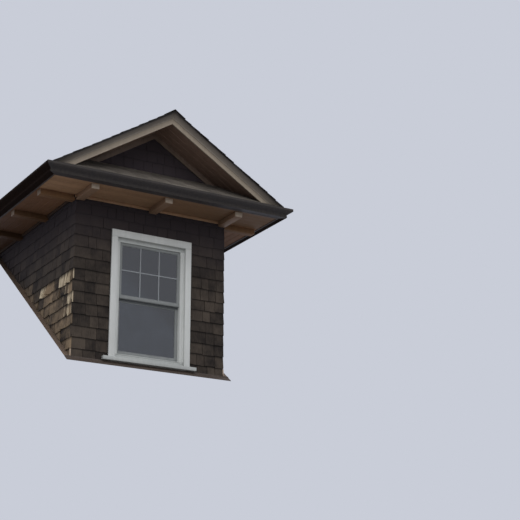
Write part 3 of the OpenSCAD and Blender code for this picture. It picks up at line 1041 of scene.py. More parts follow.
@dataclass
class ShingledWall:
    """The cedar shingles of one wall, course by course."""

    name: str
    face: Face
    ends: Span
    top: float
    finish: Material
    rng: random.Random
    bottom: float = 0.0
    lap: float = 24 * MM
    butt_t: float = 12 * MM
    tip_t: float = 3 * MM
    depth: float = 12.5 * MM
    widths: Span = (90 * MM, 205 * MM)
    joint: Span = (2 * MM, 6 * MM)
    # The wide joint of each course of a side wall, and where it lies from the course's lower edge
    step_joint: float = 20 * MM
    step: Callable[[float], float] | None = None
    # In millimetres: how far a shingle slips, turns and stands out, how it curls, and how its butt is nicked
    slips: Span = (-4, 3)
    turns: Span = (-3, 3)
    stands: Span = (-3.0, 1.0)
    curls: tuple[float, ...] = (0.0, 0.0, 1.5, 3.0, 5.0)
    nicks: Span = (-1.5, 1.5)
    # How much rougher a worn shingle is, and how its bareness differs from the wear of the place
    worn_rough: float = 1.7
    bare_share: Span = (0.8, 1.1)
    bare_extra: Span = (0.0, 0.12)
    wear: Callable[[Vector], float] = lambda place: 0.0
    window: tuple[float, float, float] | None = None
    # Whether the starter course laps over its neighbour's at the corners, as every other course then does
    laps_first: bool = True
    cuts: Sequence[Trim] = ()
    # How far the shingles stop short of the cuts
    clear: Span = (0.0, 0.0)

    def build(self) -> None:
        """Lay the shingles."""
        slabs = Slabs(cuts_along=3, cuts_up=1)
        slabs.bm.verts.layers.float_vector.new("lay")
        for layer in ("tone", "bleach", "rise", "rim"):
            slabs.bm.verts.layers.float.new(layer)
        butts = Coursing().butts(self.top)
        for row, (butt, reach) in enumerate(zip(butts, butts[1:] + [self.top])):
            if reach <= self.bottom:
                continue
            lead = self.butt_t if (row % 2 == 0) != self.laps_first else 0.0
            for left, right, low in self.stretches(butt, reach):
                start = left + (lead if left == self.ends[0] else 0.0)
                stop = right - (lead if right == self.ends[1] else 0.0)
                self.lay_course(slabs, start, stop, low, reach)
        Piece(self.name, Slot.WALL_SHINGLES, [self.finish], slabs.bm).place()

    def stretches(self, butt: float, reach: float) -> Iterator[tuple[float, float, float]]:
        """Split a course round the window.

        Args:
            butt: The course's lower edge.
            reach: The next course's lower edge.

        Yields:
            Left end, right end and lowest height of each stretch of shingles.
        """
        left, right = self.ends
        if self.window:
            start, stop, head = self.window
            if butt < head:
                yield left, start, butt
                if reach > head:
                    yield start, stop, head
                left = stop
        yield left, right, butt

    def lay_course(self, slabs: Slabs, start: float, stop: float, low: float, reach: float) -> None:
        """Lay one stretch of a course from left to right.

        Args:
            slabs: The mesh that it goes into.
            start: Its left end.
            stop: Its right end.
            low: Its lower edge.
            reach: The next course's lower edge.
        """
        least = self.widths[0]
        joints = [start]
        while stop - joints[-1] > 2 * least:
            most = min(self.widths[1], stop - joints[-1] - least)
            joints.append(joints[-1] + self.rng.uniform(least, most))
        joints.append(stop)
        step = self.step(low) if self.step else stop
        if self.step:
            joints = [place for place in joints if abs(place - step) > least / 2 or place in (start, stop)]
            joints = sorted(joints + [step] * (start < step < stop))
        for left, right in zip(joints, joints[1:]):
            gap = self.rng.uniform(*self.joint) / 2
            before, after = (self.step_joint / 2 if place == step else gap for place in (left, right))
            self.lay_shingle(slabs, left + before * (left > start), right - after * (right < stop), low,
                             reach)

    def lay_shingle(self, slabs: Slabs, left: float, right: float, low: float, reach: float) -> None:
        """Lay one shingle, a little askew, cupped and proud of its neighbours.

        Args:
            slabs: The mesh that it goes into.
            left: Its left edge.
            right: Its right edge.
            low: Its lower edge.
            reach: The next course's lower edge.
        """
        wear = self.wear(self.face.point((left + right) / 2, (low + reach) / 2, 0.0))
        rough = 1.0 + self.worn_rough * min(wear, 1.0)
        drop = self.rng.uniform(*self.slips) * rough * MM
        skew = self.rng.uniform(*self.turns) * rough * MM
        proud = self.rng.uniform(*self.stands) * MM
        curl = self.rng.choice(self.curls) * self.rng.random() * rough ** 2 * MM
        lean = self.rng.uniform(-1, 1)
        nick = self.rng.uniform(*self.nicks) * rough * MM
        top = min(reach + self.lap, self.top)

        def shape(along: float, up: float, out: float) -> Vector:
            """Place a corner: askew at the butt, cupped, and nicked near the middle of the butt.

            Args:
                along: How far along the slab it lies, from 0 to 1.
                up: How far up.
                out: How far out.

            Returns:
                The place.
            """
            across = 2 * along - 1
            bow = across ** 2 * (1 - up) * curl * (1 + lean * across)
            thick = self.butt_t + (self.tip_t - self.butt_t) * up
            wave = nick if 0.3 < along < 0.6 else 0.0
            foot = max(low + (drop + across * skew + wave) * (1 - up), BITE)
            return self.face.point(left + (right - left) * along, foot + (top - foot) * up,
                                   out * (thick + proud * (1 - up) + bow) - self.depth)

        clearance = self.rng.uniform(*self.clear)
        trims = [Trim(cut.point - cut.outward * clearance, cut.outward) for cut in self.cuts]
        self.dress(slabs.bm, slabs.add(shape, trims), (left, right), (low, reach), wear)

    def dress(self, bm: BMesh, verts: Sequence[Vert], sides: Span, levels: Span, wear: float) -> None:
        """Give one shingle its grain, tone and wear.

        Args:
            bm: The mesh.
            verts: The shingle's vertices.
            sides: Its left and right edge.
            levels: Its lower edge and the next course's.
            wear: How far the stain has gone here.
        """
        turn = Run.UP.turn()
        layers = bm.verts.layers
        shift = anywhere(self.rng)
        tone = self.rng.random()
        bare = wear * self.rng.uniform(*self.bare_share) + self.rng.uniform(*self.bare_extra)
        for vert in verts:
            vert[layers.float_vector["lay"]] = turn @ vert.co + shift
            vert[layers.float["tone"]] = tone
            vert[layers.float["bleach"]] = bare
            vert[layers.float["rise"]] = (vert.co.z - levels[0]) / (levels[1] - levels[0])
            across = ((vert.co - self.face.origin).dot(self.face.along) - sides[0]) / (sides[1] - sides[0])
            vert[layers.float["rim"]] = abs(2 * across - 1)


@dataclass
class Walls:
    """The shingled walls, with the felt, the boards and the studs behind them."""

    finishes: Finishes
    rng: random.Random
    shingle_t: float = 12.5 * MM
    felt_t: float = 1 * MM
    sheathing_t: float = 18 * MM
    sheathing_w: float = 184 * MM
    board_gap: float = 2 * MM
    stud_w: float = 38 * MM
    stud_step: float = 406 * MM
    header_h: float = 140 * MM
    trim_d: float = 4 * MM
    # Wear at the foot of the front wall, and where the side walls are splashed from the house roof
    foot_wear: float = 0.16
    foot_wear_h: float = 0.9
    splash_wear: float = 0.55
    splash_h: float = 0.35
    splash_top: float = 1.1

    def build(self) -> None:
        """Build the four walls."""
        self.front_shingles()
        self.gable_shingles()
        self.front_core()
        self.gable_core()
        for side in Side:
            self.side_shingles(side)
            self.side_core(side)

    def skin(self) -> float:
        """Return how deep the studs lie behind the shingles' faces."""
        return self.shingle_t + self.felt_t + self.sheathing_t

    def front_face(self, base: float = 0.0) -> Face:
        """Return the front wall's face, measured up from a height."""
        return Face(Vector((0.0, LAYOUT.front, base)), ACROSS, UP)

    def side_face(self, side: Side) -> Face:
        """Return a side wall's face. Its length runs to the right as seen from outside."""
        return Face(ACROSS * (side.value * LAYOUT.half_wall), BACK * side.value, UP)

    def front_shingles(self) -> None:
        """Lay the front wall's shingles round the window."""
        low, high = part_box("window_casing")
        play = 2 * MM
        ShingledWall(
            "front_wall_shingles", self.front_face(), (-LAYOUT.half_wall, LAYOUT.half_wall),
            LAYOUT.soffit - self.trim_d, self.finishes.cedar, self.rng,
            window=(low.x - play, high.x + play, high.z + play),
            wear=lambda place: self.foot_wear * max(0.0, 1 - place.z / self.foot_wear_h),
        ).build()

    def gable_shingles(self) -> None:
        """Lay the shingles of the gable, between the pent roof and the frieze boards."""
        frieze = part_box("frieze_boards")
        reach = (LAYOUT.peak - LAYOUT.plate) / SLOPE
        hidden = 20 * MM
        cuts = [Trim(UP * (frieze[1].z - hidden), side.slope_normal()) for side in Side]
        ShingledWall(
            "gable_shingles", self.front_face(), (-reach, reach), frieze[1].z, self.finishes.lit_gable_cedar,
            self.rng, bottom=LAYOUT.plate + hidden, cuts=cuts,
        ).build()

    def side_shingles(self, side: Side) -> None:
        """Lay the shingles of one side wall, down to just above the house roof.

        Args:
            side: The side of the dormer.
        """
        end = LAYOUT.house_y(LAYOUT.soffit)
        ShingledWall(
            side.node("side_shingles"), self.side_face(side), side.span(LAYOUT.front, end),
            LAYOUT.soffit - self.trim_d, self.finishes.cedar, self.rng, wear=self.side_wear(side),
            laps_first=False, cuts=[Trim(BACK * LAYOUT.front, UNDER_HOUSE)], clear=(3 * MM, 14 * MM),
            step=lambda low: side.value * LAYOUT.house_y(low),
        ).build()

    def side_wear(self, side: Side) -> Callable[[Vector], float]:
        """Tell where the weather has worn a side wall.

        Args:
            side: The side of the dormer.

        Returns:
            The function that gives how far the stain has gone at a place.
        """
        marks = LEFT_MARKS if side is Side.LEFT else ()

        def wear(place: Vector) -> float:
            """Tell how far the stain has gone.

            Args:
                place: A place on the wall.

            Returns:
                0 where it is whole, 1 and more where the wood is bare.
            """
            splash = max(0.0, 1 - (place.z - LAYOUT.house_z(place.y)) / self.splash_h)
            low = self.splash_wear * splash * (place.z < self.splash_top)
            return max([low, *(mark.bare for mark in marks if mark.covers(place))])

        return wear

    def around(self, ends: Span, low: float, high: float, hole: Hole | None) -> list[Hole]:
        """Split a level strip of a wall round an opening.

        Args:
            ends: Left and right end of the strip.
            low: Its lower edge.
            high: Its upper edge.
            hole: Left, right, bottom and top of the opening, if there is one.

        Returns:
            Left, right, bottom and top of each part.
        """
        start, stop = ends
        if not hole:
            return [(start, stop, low, high)]
        left, right, bottom, top = hole
        if low >= top or high <= bottom:
            return [(start, stop, low, high)]
        parts = [(start, left, low, high), (right, stop, low, high)]
        if high > top:
            parts.append((left, right, top, high))
        if low < bottom:
            parts.append((left, right, low, bottom))
        return parts

    def line(self, slabs: Slabs, face: Face, ends: Span, top: float, hole: Hole | None = None) -> None:
        """Cover a face with level boards and the felt that lies over them.

        Args:
            slabs: The mesh that they go into.
            face: The wall's face.
            ends: Left and right end of the boards.
            top: Height of the top board's upper edge.
            hole: Left, right, bottom and top of an opening, if there is one.
        """
        low = 0.0
        board_d = self.shingle_t + self.felt_t
        while low < top - BITE:
            high = min(low + self.sheathing_w, top)
            for left, right, bottom, upper in self.around(ends, low, high, hole):
                slabs.panel(face, (left, right), (bottom, upper - self.board_gap),
                            (-self.sheathing_t - board_d, -board_d))
            low += self.sheathing_w
        for left, right, bottom, upper in self.around(ends, 0.0, top, hole):
            slabs.panel(face, (left, right), (bottom, upper), (-board_d, self.felt_t - board_d), finish=1)

    def front_core(self) -> None:
        """Build the boards and studs of the front wall."""
        frame_low, frame_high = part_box("window_frame")
        hole_x = frame_high.x
        hole_top = frame_high.z
        reach = LAYOUT.half_wall - self.shingle_t
        slabs = Slabs()
        self.line(slabs, self.front_face(), (-reach, reach), LAYOUT.plate,
                  (frame_low.x, frame_high.x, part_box("window_sill")[0].z, hole_top))
        y0 = LAYOUT.front + self.skin()
        y1 = LAYOUT.inside
        wall_x = reach - self.felt_t - self.sheathing_t
        plate_z = LAYOUT.plate - self.stud_w
        header = hole_top + self.header_h
        for side in Side:
            for x in (wall_x - self.stud_w, hole_x):
                x0, x1 = side.span(x, x + self.stud_w)
                slabs.box((x0, y0, self.stud_w), (x1, y1, plate_z))
            x0, x1 = side.span(wall_x, hole_x)
            slabs.box((x0, y0, 0.0), (x1, y1, self.stud_w - BITE))
        slabs.box((-wall_x, y0, plate_z + BITE), (wall_x, y1, LAYOUT.plate))
        slabs.box((BITE - hole_x, y0, hole_top), (hole_x - BITE, y1, header))
        for x in (-self.stud_step / 2, self.stud_step / 2):
            slabs.box((x, y0, header + BITE), (x + self.stud_w, y1, plate_z))
        self.finish_core("front_wall_core", slabs.bm, Run.ACROSS, "front_wall")

    def gable_core(self) -> None:
        """Build the boards and flat studs of the gable."""
        low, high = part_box("gable_wall")
        slabs = Slabs()
        self.line(slabs, self.front_face(low.z), (low.x, high.x), high.z - low.z)
        count = int(high.x / self.stud_step)
        for i in range(-count, count + 1):
            x = i * self.stud_step - self.stud_w / 2
            slabs.box((x, LAYOUT.front + self.skin(), low.z), (x + self.stud_w, high.y, high.z))
        for side in Side:
            cut_away(slabs.bm, UP * high.z, side.slope_normal())
        self.finish_core("gable_core", slabs.bm, Run.ACROSS, "gable_wall")

    def side_core(self, side: Side) -> None:
        """Build the boards and studs of one side wall, cut along the house roof.

        Args:
            side: The side of the dormer.
        """
        low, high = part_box(side.node("cheek"))
        slabs = Slabs()
        ends = side.span(LAYOUT.front + self.shingle_t, high.y)
        self.line(slabs, self.side_face(side), ends, high.z)
        cut_on_house_roof(slabs.bm)
        studs = Slabs()
        x0, x1 = side.span(LAYOUT.half_wall - self.skin(), LAYOUT.half_wall - (high.x - low.x))
        plate_z = high.z - self.stud_w
        y = LAYOUT.inside
        while y < high.y:
            studs.box((x0, y, 0.0), (x1, y + self.stud_w, plate_z))
            y += self.stud_step
        studs.box((x0, LAYOUT.inside, plate_z + BITE), (x1, high.y, high.z))
        cut_on_house_roof(studs.bm, self.stud_w)
        append(slabs.bm, studs.bm)
        self.finish_core(side.node("cheek_core"), slabs.bm, Run.BACK, side.node("cheek"))

    def finish_core(self, name: str, bm: BMesh, run: Run, node: str) -> None:
        """Dress the boards and studs of one wall and place them.

        Args:
            name: The piece's name.
            bm: The mesh.
            run: The direction of the grain.
            node: The solid that they stand for.
        """
        shade_by_angle(bm)
        lay_grain(bm, run, self.rng)
        Piece(name, Slot.WALL_SHINGLES, [self.finishes.boards, self.finishes.felt], bm, (node,)).place()


@dataclass
class CourseRoof:
    """Laminated asphalt shingles on one slope: courses of tabs, some of them a layer thicker."""

    face: Face
    ends: Span
    run: float
    rng: random.Random
    exposure: float = 127 * MM
    lap: float = 25 * MM
    thick: float = 10 * MM
    layer: float = 3 * MM
    dip: float = 6 * MM
    tabs: Span = (70 * MM, 210 * MM)
    thin_share: float = 0.7
    least: float = 40 * MM
    least_run: float = 5 * MM
    ragged: float = 7 * MM
    # In millimetres: how uneven the butts are, how the raised tabs flare, and how far they lie below the top
    uneven: Span = (0, 2.5)
    flares: Span = (2, 7)
    raised_d: float = 0.3

    def build(self) -> BMesh:
        """Lay the courses.

        Returns:
            The mesh of all tabs, in place. The sides of the tabs have the second finish.
        """
        slabs = Slabs()
        start = 0.0
        while start < self.run - self.least_run:
            self.lay_course(slabs, start)
            start += self.exposure
        slabs.bm.normal_update()
        normal = self.face.along.cross(self.face.up)
        for one in slabs.bm.faces:
            one.material_index = int(one.normal.dot(normal) < 0.5)
        return slabs.bm

    def lay_course(self, slabs: Slabs, start: float) -> None:
        """Lay one course of tabs from end to end.

        Args:
            slabs: The mesh that they go into.
            start: The course's lower edge.
        """
        left = self.ends[0] + self.rng.uniform(0, self.ragged)
        last = self.ends[1] - self.rng.uniform(0, self.ragged)
        raised = self.rng.random() < 0.5
        while left < last:
            right = left + self.rng.uniform(*self.tabs) * (1.0 if raised else self.thin_share)
            if last - right < self.least:
                right = last
            self.lay_tab(slabs, left, right, start, raised)
            left = right
            raised = not raised

    def lay_tab(self, slabs: Slabs, left: float, right: float, start: float, raised: bool) -> None:
        """Lay one tab, with its butt a little uneven.

        Args:
            slabs: The mesh that it goes into.
            left: Its left side.
            right: Its right side.
            start: Its course's lower edge.
            raised: Whether it is a layer thicker than its neighbours.
        """
        butt = start + self.rng.uniform(*self.uneven) * MM
        top = min(start + self.exposure + self.lap, self.run)
        rise = -self.raised_d * MM if raised else -self.layer
        tilt = (top - butt) / (self.exposure + self.lap)
        flare = self.rng.uniform(*self.flares) * MM if raised else 0.0

        def shape(along: float, up: float, out: float) -> Vector:
            """Place a corner: flared at the top, and dipping under the next course.

            Args:
                along: How far along the slab it lies, from 0 to 1.
                up: How far up.
                out: How far out.

            Returns:
                The place.
            """
            low = -self.thick
            high = rise - up * tilt * self.dip
            squeeze = flare * up * (0.5 - along)
            return self.face.point(left + (right - left) * along + squeeze, butt + (top - butt) * up,
                                   low + out * (high - low))

        slabs.add(shape)


@dataclass
class Roofs:
    """The two slopes, the ridge and the pent roof across the front."""

    finishes: Finishes
    rng: random.Random
    shingle_t: float = 10 * MM
    deck_t: float = 19 * MM
    soffit_t: float = 12 * MM
    deck_w: float = 140 * MM
    deck_gap: float = 3 * MM
    drip_h: float = 17 * MM
    drip_t: float = 1 * MM
    drip_kick: float = 3 * MM
    cap_l: float = 170 * MM
    cap_step: float = 127 * MM
    # Shares of a cap's thickness: lost at its sides, lost at its back, and lifted off the cap below
    cap_side: float = 0.7
    cap_back: float = 0.5
    cap_lift: float = 0.4
    cap_rest: float = 0.2 * MM
    # How uneven the caps' sides are, in millimetres
    cap_ragged: float = 3
    pent_seed: int = 17

    def build(self) -> None:
        """Build all the roofing and the boards under it."""
        for side in Side:
            self.slope(side)
            self.deck(side)
            self.drip_edge(side)
        self.ridge_cap()
        self.pent()
        board_from("pent_deck", Slot.BOARDS, self.finishes.boards, Run.ACROSS, self.rng, ease=BITE)

    def slope_face(self, side: Side) -> Face:
        """Find the face of the shingles' tops on one slope.

        Args:
            side: The side of the roof.

        Returns:
            The face, from its lower edge up.
        """
        origin = Vector((side.value * LAYOUT.eave_x, 0.0, LAYOUT.roof_z(LAYOUT.eave_x, 0.0)))
        up = Vector((-side.value * math.cos(PITCH), 0.0, math.sin(PITCH)))
        return Face(origin, BACK * side.value, up)

    def finish_roofing(self, name: str, bm: BMesh, node: str) -> None:
        """Cut shingles along the house roof, lay their tones and place them.

        Args:
            name: The piece's name.
            bm: The mesh.
            node: The solid that they stand for.
        """
        cut_on_house_roof(bm)
        lay_grain(bm, Run.BACK, self.rng)
        Piece(name, Slot.ROOF_SHINGLES, [self.finishes.roofing, self.finishes.cut_edge], bm, (node,)).place()

    def slope(self, side: Side) -> None:
        """Lay one slope's shingles, cut along the house roof.

        Args:
            side: The side of the dormer.
        """
        ends = side.span(LAYOUT.verge_y, LAYOUT.back_y)
        bm = CourseRoof(self.slope_face(side), ends, LAYOUT.eave_x / math.cos(PITCH), self.rng).build()
        self.finish_roofing(side.node("roof_courses"), bm, side.node("roof_shingles"))

    def deck(self, side: Side) -> None:
        """Lay the boards under one slope's shingles.

        Args:
            side: The side of the dormer.
        """
        node = side.node("roof_deck")
        low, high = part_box(node)
        face = self.slope_face(side)
        start = (LAYOUT.eave_x - max(abs(low.x), abs(high.x))) / math.cos(PITCH)
        run = LAYOUT.eave_x / math.cos(PITCH)
        ends = side.span(low.y, high.y)
        depths = (-self.deck_t - self.shingle_t, -self.shingle_t)
        slabs = Slabs()
        while start < run - BITE:
            stop = min(start + self.deck_w, run)
            slabs.panel(face, ends, (start, stop - self.deck_gap), depths)
            start += self.deck_w
        ease_edges(slabs.bm, BITE, segments=1)
        cut_on_house_roof(slabs.bm)
        lay_grain(slabs.bm, Run.BACK, self.rng)
        Piece(side.node("roof_boards"), Slot.BOARDS, [self.finishes.boards], slabs.bm, (node,)).place()

    def drip_edge(self, side: Side) -> None:
        """Hang a drip edge under the shingles' ends on one rake, kicked out along its foot.

        Args:
            side: The side of the dormer.
        """
        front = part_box(side.node("rake_crown"))[0].y
        ends = side.span(0.0, LAYOUT.eave_x - self.drip_t)

        def shape(along: float, up: float, out: float) -> Vector:
            """Place a corner: along the rake, down it, and kicked out at the foot.

            Args:
                along: How far along the slab it lies, from 0 to 1.
                up: How far up.
                out: How far out.

            Returns:
                The place.
            """
            x = ends[0] + along * (ends[1] - ends[0])
            y = front - out * self.drip_t - (self.drip_kick if up == 0 else 0.0)
            return Vector((x, y, LAYOUT.roof_z(x, self.shingle_t + (1 - up) * self.drip_h)))

        slabs = Slabs(cuts_up=1)
        slabs.add(shape)
        Piece(side.node("rake_drip_edge"), Slot.GUTTER, [self.finishes.drip_edge], slabs.bm).place()

    def ridge_cap(self) -> None:
        """Lay the folded caps along the ridge."""
        low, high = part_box("ridge_cap")
        cap_t = (high.z - LAYOUT.peak) * math.cos(PITCH)
        slabs = Slabs(cuts_along=1)
        y = low.y
        while y < high.y:
            reach = high.x - self.rng.uniform(0, self.cap_ragged) * MM
            end = min(y + self.cap_l, high.y)

            def shape(along: float, up: float, out: float) -> Vector:
                """Place a corner: folded over the ridge, and resting on the cap below at the front.

                Args:
                    along: How far along the slab it lies, from 0 to 1.
                    up: How far up.
                    out: How far out.

                Returns:
                    The place.
                """
                across = 2 * along - 1
                thin = 1 - self.cap_side * abs(across)
                bottom = self.cap_rest + (1 - up) * self.cap_lift * cap_t * thin
                top = cap_t * (1 - self.cap_back * up) * thin
                depth = bottom + out * (top - bottom)
                x = across * reach
                return Vector((x, y + up * (end - y), LAYOUT.roof_z(x, -depth)))

            slabs.add(shape)
            y += self.cap_step
        slabs.bm.normal_update()
        for one in slabs.bm.faces:
            one.material_index = int(one.normal.z < 0.5)
        self.finish_roofing("ridge_caps", slabs.bm, "ridge_cap")

    def pent(self) -> None:
        """Lay the pent roof's shingles, let in under the rakes."""
        up = Vector((0.0, math.cos(PITCH), math.sin(PITCH)))
        face = Face(Vector((0.0, LAYOUT.pent_y, LAYOUT.pent_z)), ACROSS, up)
        run = (LAYOUT.front - LAYOUT.pent_y) / math.cos(PITCH)
        back = LAYOUT.fascia_y + LAYOUT.board
        under_rake = LAYOUT.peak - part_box("left_rake_soffit")[1].z + self.soffit_t / math.cos(PITCH)
        parts = []
        for beyond, drop in ((BACK, self.shingle_t / math.cos(PITCH)), (-BACK, under_rake)):
            bm = CourseRoof(face, (-LAYOUT.eave_x, LAYOUT.eave_x), run, random.Random(self.pent_seed),
                            layer=1 * MM, dip=1.5 * MM).build()
            cut_away(bm, BACK * back, beyond)
            for side in Side:
                cut_away(bm, UP * (LAYOUT.peak - drop), side.slope_normal())
            parts.append(bm)
        append(parts[0], parts[1])
        lay_grain(parts[0], Run.ACROSS, self.rng)
        Piece("pent_courses", Slot.PENT_SHINGLES, [self.finishes.pent_roofing] * 2, parts[0],
              ("pent_shingles",)).place()


@dataclass
class Eaves:
    """Fascias, soffits, beam tails, mouldings and gutters."""

    finishes: Finishes
    rng: random.Random
    board_w: float = 85 * MM
    groove: float = 3 * MM
    # Share of a soffit board's width that stays open on either side of it
    open_share: float = 0.002
    hanger_step: float = 610 * MM
    hanger_w: float = 22 * MM
    hanger_t: float = 1.5 * MM
    hanger_drop: float = 8 * MM
    mould_ease: float = 5 * MM
    tail_ease: float = 4 * MM
    tail_end_t: float = 5 * MM

    def build(self) -> None:
        """Build everything under the edges of the roof."""
        self.front_soffit()
        for side in Side:
            self.side_soffit(side)
            self.rake_soffit(side)
            rake = Run.rake(side)
            board_from(side.node("fascia"), Slot.BROWN_TRIM, self.finishes.brown, Run.BACK, self.rng)
            self.rake_trim(side, "barge_board", Slot.PALE_TRIM, self.finishes.barge, rake)
            self.rake_trim(side, "rake_crown", Slot.CROWN_TRIM, self.finishes.crown, rake)
            self.tails(side.node("tails"), ACROSS * side.value, Run.ACROSS,
                       (self.finishes.shaded_side_tail, self.finishes.shaded_side_tail_end))
            self.gutter(side.node("gutter"), self.finishes.shaded_side_gutter)
        board_from("front_fascia", Slot.BROWN_TRIM, self.finishes.brown, Run.ACROSS, self.rng)
        board_from("frieze_boards", Slot.BROWN_TRIM, self.finishes.frieze, Run.ACROSS, self.rng)
        self.bed_moulds()
        self.tails("front_tails", -BACK, Run.BACK, (self.finishes.tail, self.finishes.tail_end))
        self.gutter("front_gutter", self.finishes.gutter)
        self.hangers()

    def light_back(self, place: Vector) -> float:
        """Return 1 at the lit front end of the side eaves, down to 0 at their back end, where the painted
        shade is darkest.
        """
        return 1 - (place.y - LAYOUT.fascia_y) / (LAYOUT.house_y(LAYOUT.soffit) - LAYOUT.fascia_y)

    def light_across(self, place: Vector) -> float:
        """Return 1 at the lit left end of the front eave, down to 0 at its right end, where the painted shade
        is darkest.
        """
        return 0.5 - place.x / (2 * LAYOUT.eave_x)

    def soffit_boards(self, node: str, face: Face, ends: Span, run: float, grain: Run,
                      finish: Material) -> None:
        """Lay a soffit of narrow boards with a groove at each joint, down to the house roof.

        Args:
            node: The solid that it stands for.
            face: The soffit's underside, facing down.
            ends: Ends of the boards.
            run: Width of the whole soffit.
            grain: Direction of the grain.
            finish: The paint.
        """
        low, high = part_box(node)
        thick = high.z - low.z
        count = max(1, round(run / self.board_w))
        width = run / count
        slabs = Slabs()
        for i in range(count):
            edges = ((i + self.open_share) * width, (i + 1 - self.open_share) * width)
            slabs.panel(face, ends, edges, (-thick, 0.0))
        ease_edges(slabs.bm, self.groove, segments=1)
        cut_on_house_roof(slabs.bm)
        shade_by_angle(slabs.bm)
        lay_grain(slabs.bm, grain, self.rng)
        # Painted shade along the soffit, from its lit end to its shaded end
        lay_shade_falloff(slabs.bm, self.light_across if grain is Run.ACROSS else self.light_back)
        Piece(f"{node}_boards", Slot.BROWN_TRIM, [finish], slabs.bm, (node,)).place()

    def front_soffit(self) -> None:
        """Lay the level soffit over the window."""
        low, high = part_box("front_soffit")
        face = Face(Vector((0.0, high.y, low.z)), ACROSS, -BACK)
        self.soffit_boards("front_soffit", face, (low.x, high.x), high.y - low.y, Run.ACROSS,
                           self.finishes.soffit)

    def side_soffit(self, side: Side) -> None:
        """Lay the level soffit along one side.

        Args:
            side: The side of the dormer.
        """
        node = side.node("soffit")
        low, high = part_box(node)
        origin = Vector((side.value * LAYOUT.half_wall, 0.0, low.z))
        face = Face(origin, BACK * side.value, ACROSS * side.value)
        self.soffit_boards(node, face, side.span(low.y, high.y), high.x - low.x, Run.BACK,
                           self.finishes.side_soffit)

    def rake_soffit(self, side: Side) -> None:
        """Give the sloping soffit under one rake its board joints.

        Args:
            side: The side of the dormer.
        """
        node = side.node("rake_soffit")
        bm = merged_copy(node)
        low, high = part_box(node)
        count = max(1, round((high.y - low.y) / self.board_w))
        width = (high.y - low.y) / count
        boards = bmesh.new()
        for i in range(count):
            board = bm.copy()
            cut_away(board, BACK * (low.y + (i + self.open_share) * width), -BACK)
            cut_away(board, BACK * (low.y + (i + 1 - self.open_share) * width), BACK)
            append(boards, board)
        bm.free()
        dress_boards(boards, self.groove, Run.rake(side), self.rng, segments=1)
        Piece(f"{node}_boards", Slot.BROWN_TRIM, [self.finishes.rake_soffit], boards, (node,)).place()

    def bed_moulds(self) -> None:
        """Make the bed mouldings, the front ones in the soffit's paint and the side ones dark as painted
        shade.
        """
        bm = merged_copy("bed_moulds")
        dress_boards(bm, self.mould_ease, Run.ACROSS, self.rng)
        for one in bm.faces:
            one.material_index = int(one.calc_center_median().y > LAYOUT.front)
        Piece("bed_moulds_eased", Slot.BROWN_TRIM, [self.finishes.front_mould, self.finishes.shade_dark_mould], bm,
              ("bed_moulds",)).place()

    def rake_trim(self, side: Side, part: str, slot: Slot, finish: Material, run: Run) -> None:
        """Make the barge board or the crown moulding of one rake, darker along its upper edge with painted
        shade and grime.

        Args:
            side: The side of the roof.
            part: The solid's name without its side.
            slot: The material slot.
            finish: The paint.
            run: The direction of the grain.
        """
        bm = merged_copy(side.node(part))
        shade_by_angle(bm, sharp=28.0)
        lay_grain(bm, run, self.rng)
        # Painted shade and grime, darkest at the upper edge
        depths = [LAYOUT.roof_z(vert.co.x, 0.0) - vert.co.z for vert in bm.verts]
        first, last = min(depths), max(depths)
        lay_shade_falloff(bm, lambda place: (LAYOUT.roof_z(place.x, 0.0) - place.z - first) / (last - first))
        Piece(f"{side.node(part)}_painted", slot, [finish], bm, (side.node(part),)).place()

    def tails(self, node: str, outward: Vector, run: Run, paints: tuple[Material, Material]) -> None:
        """Make beam tails whose ends are painted buff.

        Args:
            node: The solids that the tails stand for.
            outward: Direction in which they point.
            run: Direction of the grain.
            paints: The paint of their sides and that of their ends.
        """
        bm = merged_copy(node)
        dress_boards(bm, self.tail_ease, run, self.rng)
        # Painted shade along the side tails towards the back; the front tails' paint has none
        lay_shade_falloff(bm, self.light_back)
        bm.normal_update()
        reach = max(vert.co.dot(outward) for vert in bm.verts)
        for one in bm.faces:
            one.material_index = int(one.calc_center_median().dot(outward) > reach - self.tail_end_t)
        Piece(f"{node}_painted", Slot.TAIL_PAINT, paints, bm, (node,)).place()

    def gutter(self, node: str, finish: Material) -> None:
        """Make a gutter of roll-formed metal.

        Args:
            node: The solid that it stands for.
            finish: The enamel.
        """
        bm = merged_copy(node)
        shade_by_angle(bm, sharp=25.0)
        Piece(f"{node}_run", Slot.GUTTER, [finish], bm, (node,)).place()

    def hangers(self) -> None:
        """Build the straps that hold the gutters' lips, from end to end of all three."""
        slabs = Slabs()
        front_low, front_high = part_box("front_gutter")
        z = front_high.z - self.hanger_drop
        depth = front_high.y - front_low.y
        play = 4 * MM
        reach = LAYOUT.fascia_x - self.hanger_w
        count = round(2 * reach / self.hanger_step)
        for i in range(count + 1):
            x = -reach + 2 * reach * i / count
            slabs.box((x - self.hanger_w / 2, front_low.y + play, z - self.hanger_t),
                      (x + self.hanger_w / 2, front_high.y, z))
        for side in Side:
            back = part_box(side.node("gutter"))[1].y - self.hanger_w
            start = LAYOUT.fascia_y + self.hanger_w
            count = round((back - start) / self.hanger_step)
            x0, x1 = side.span(LAYOUT.fascia_x, LAYOUT.fascia_x + depth - play)
            for i in range(count + 1):
                y = start + (back - start) * i / count
                slabs.box((x0, y - self.hanger_w / 2, z - self.hanger_t), (x1, y + self.hanger_w / 2, z))
        Piece("gutter_hangers", Slot.GUTTER, [self.finishes.gutter], slabs.bm).place()


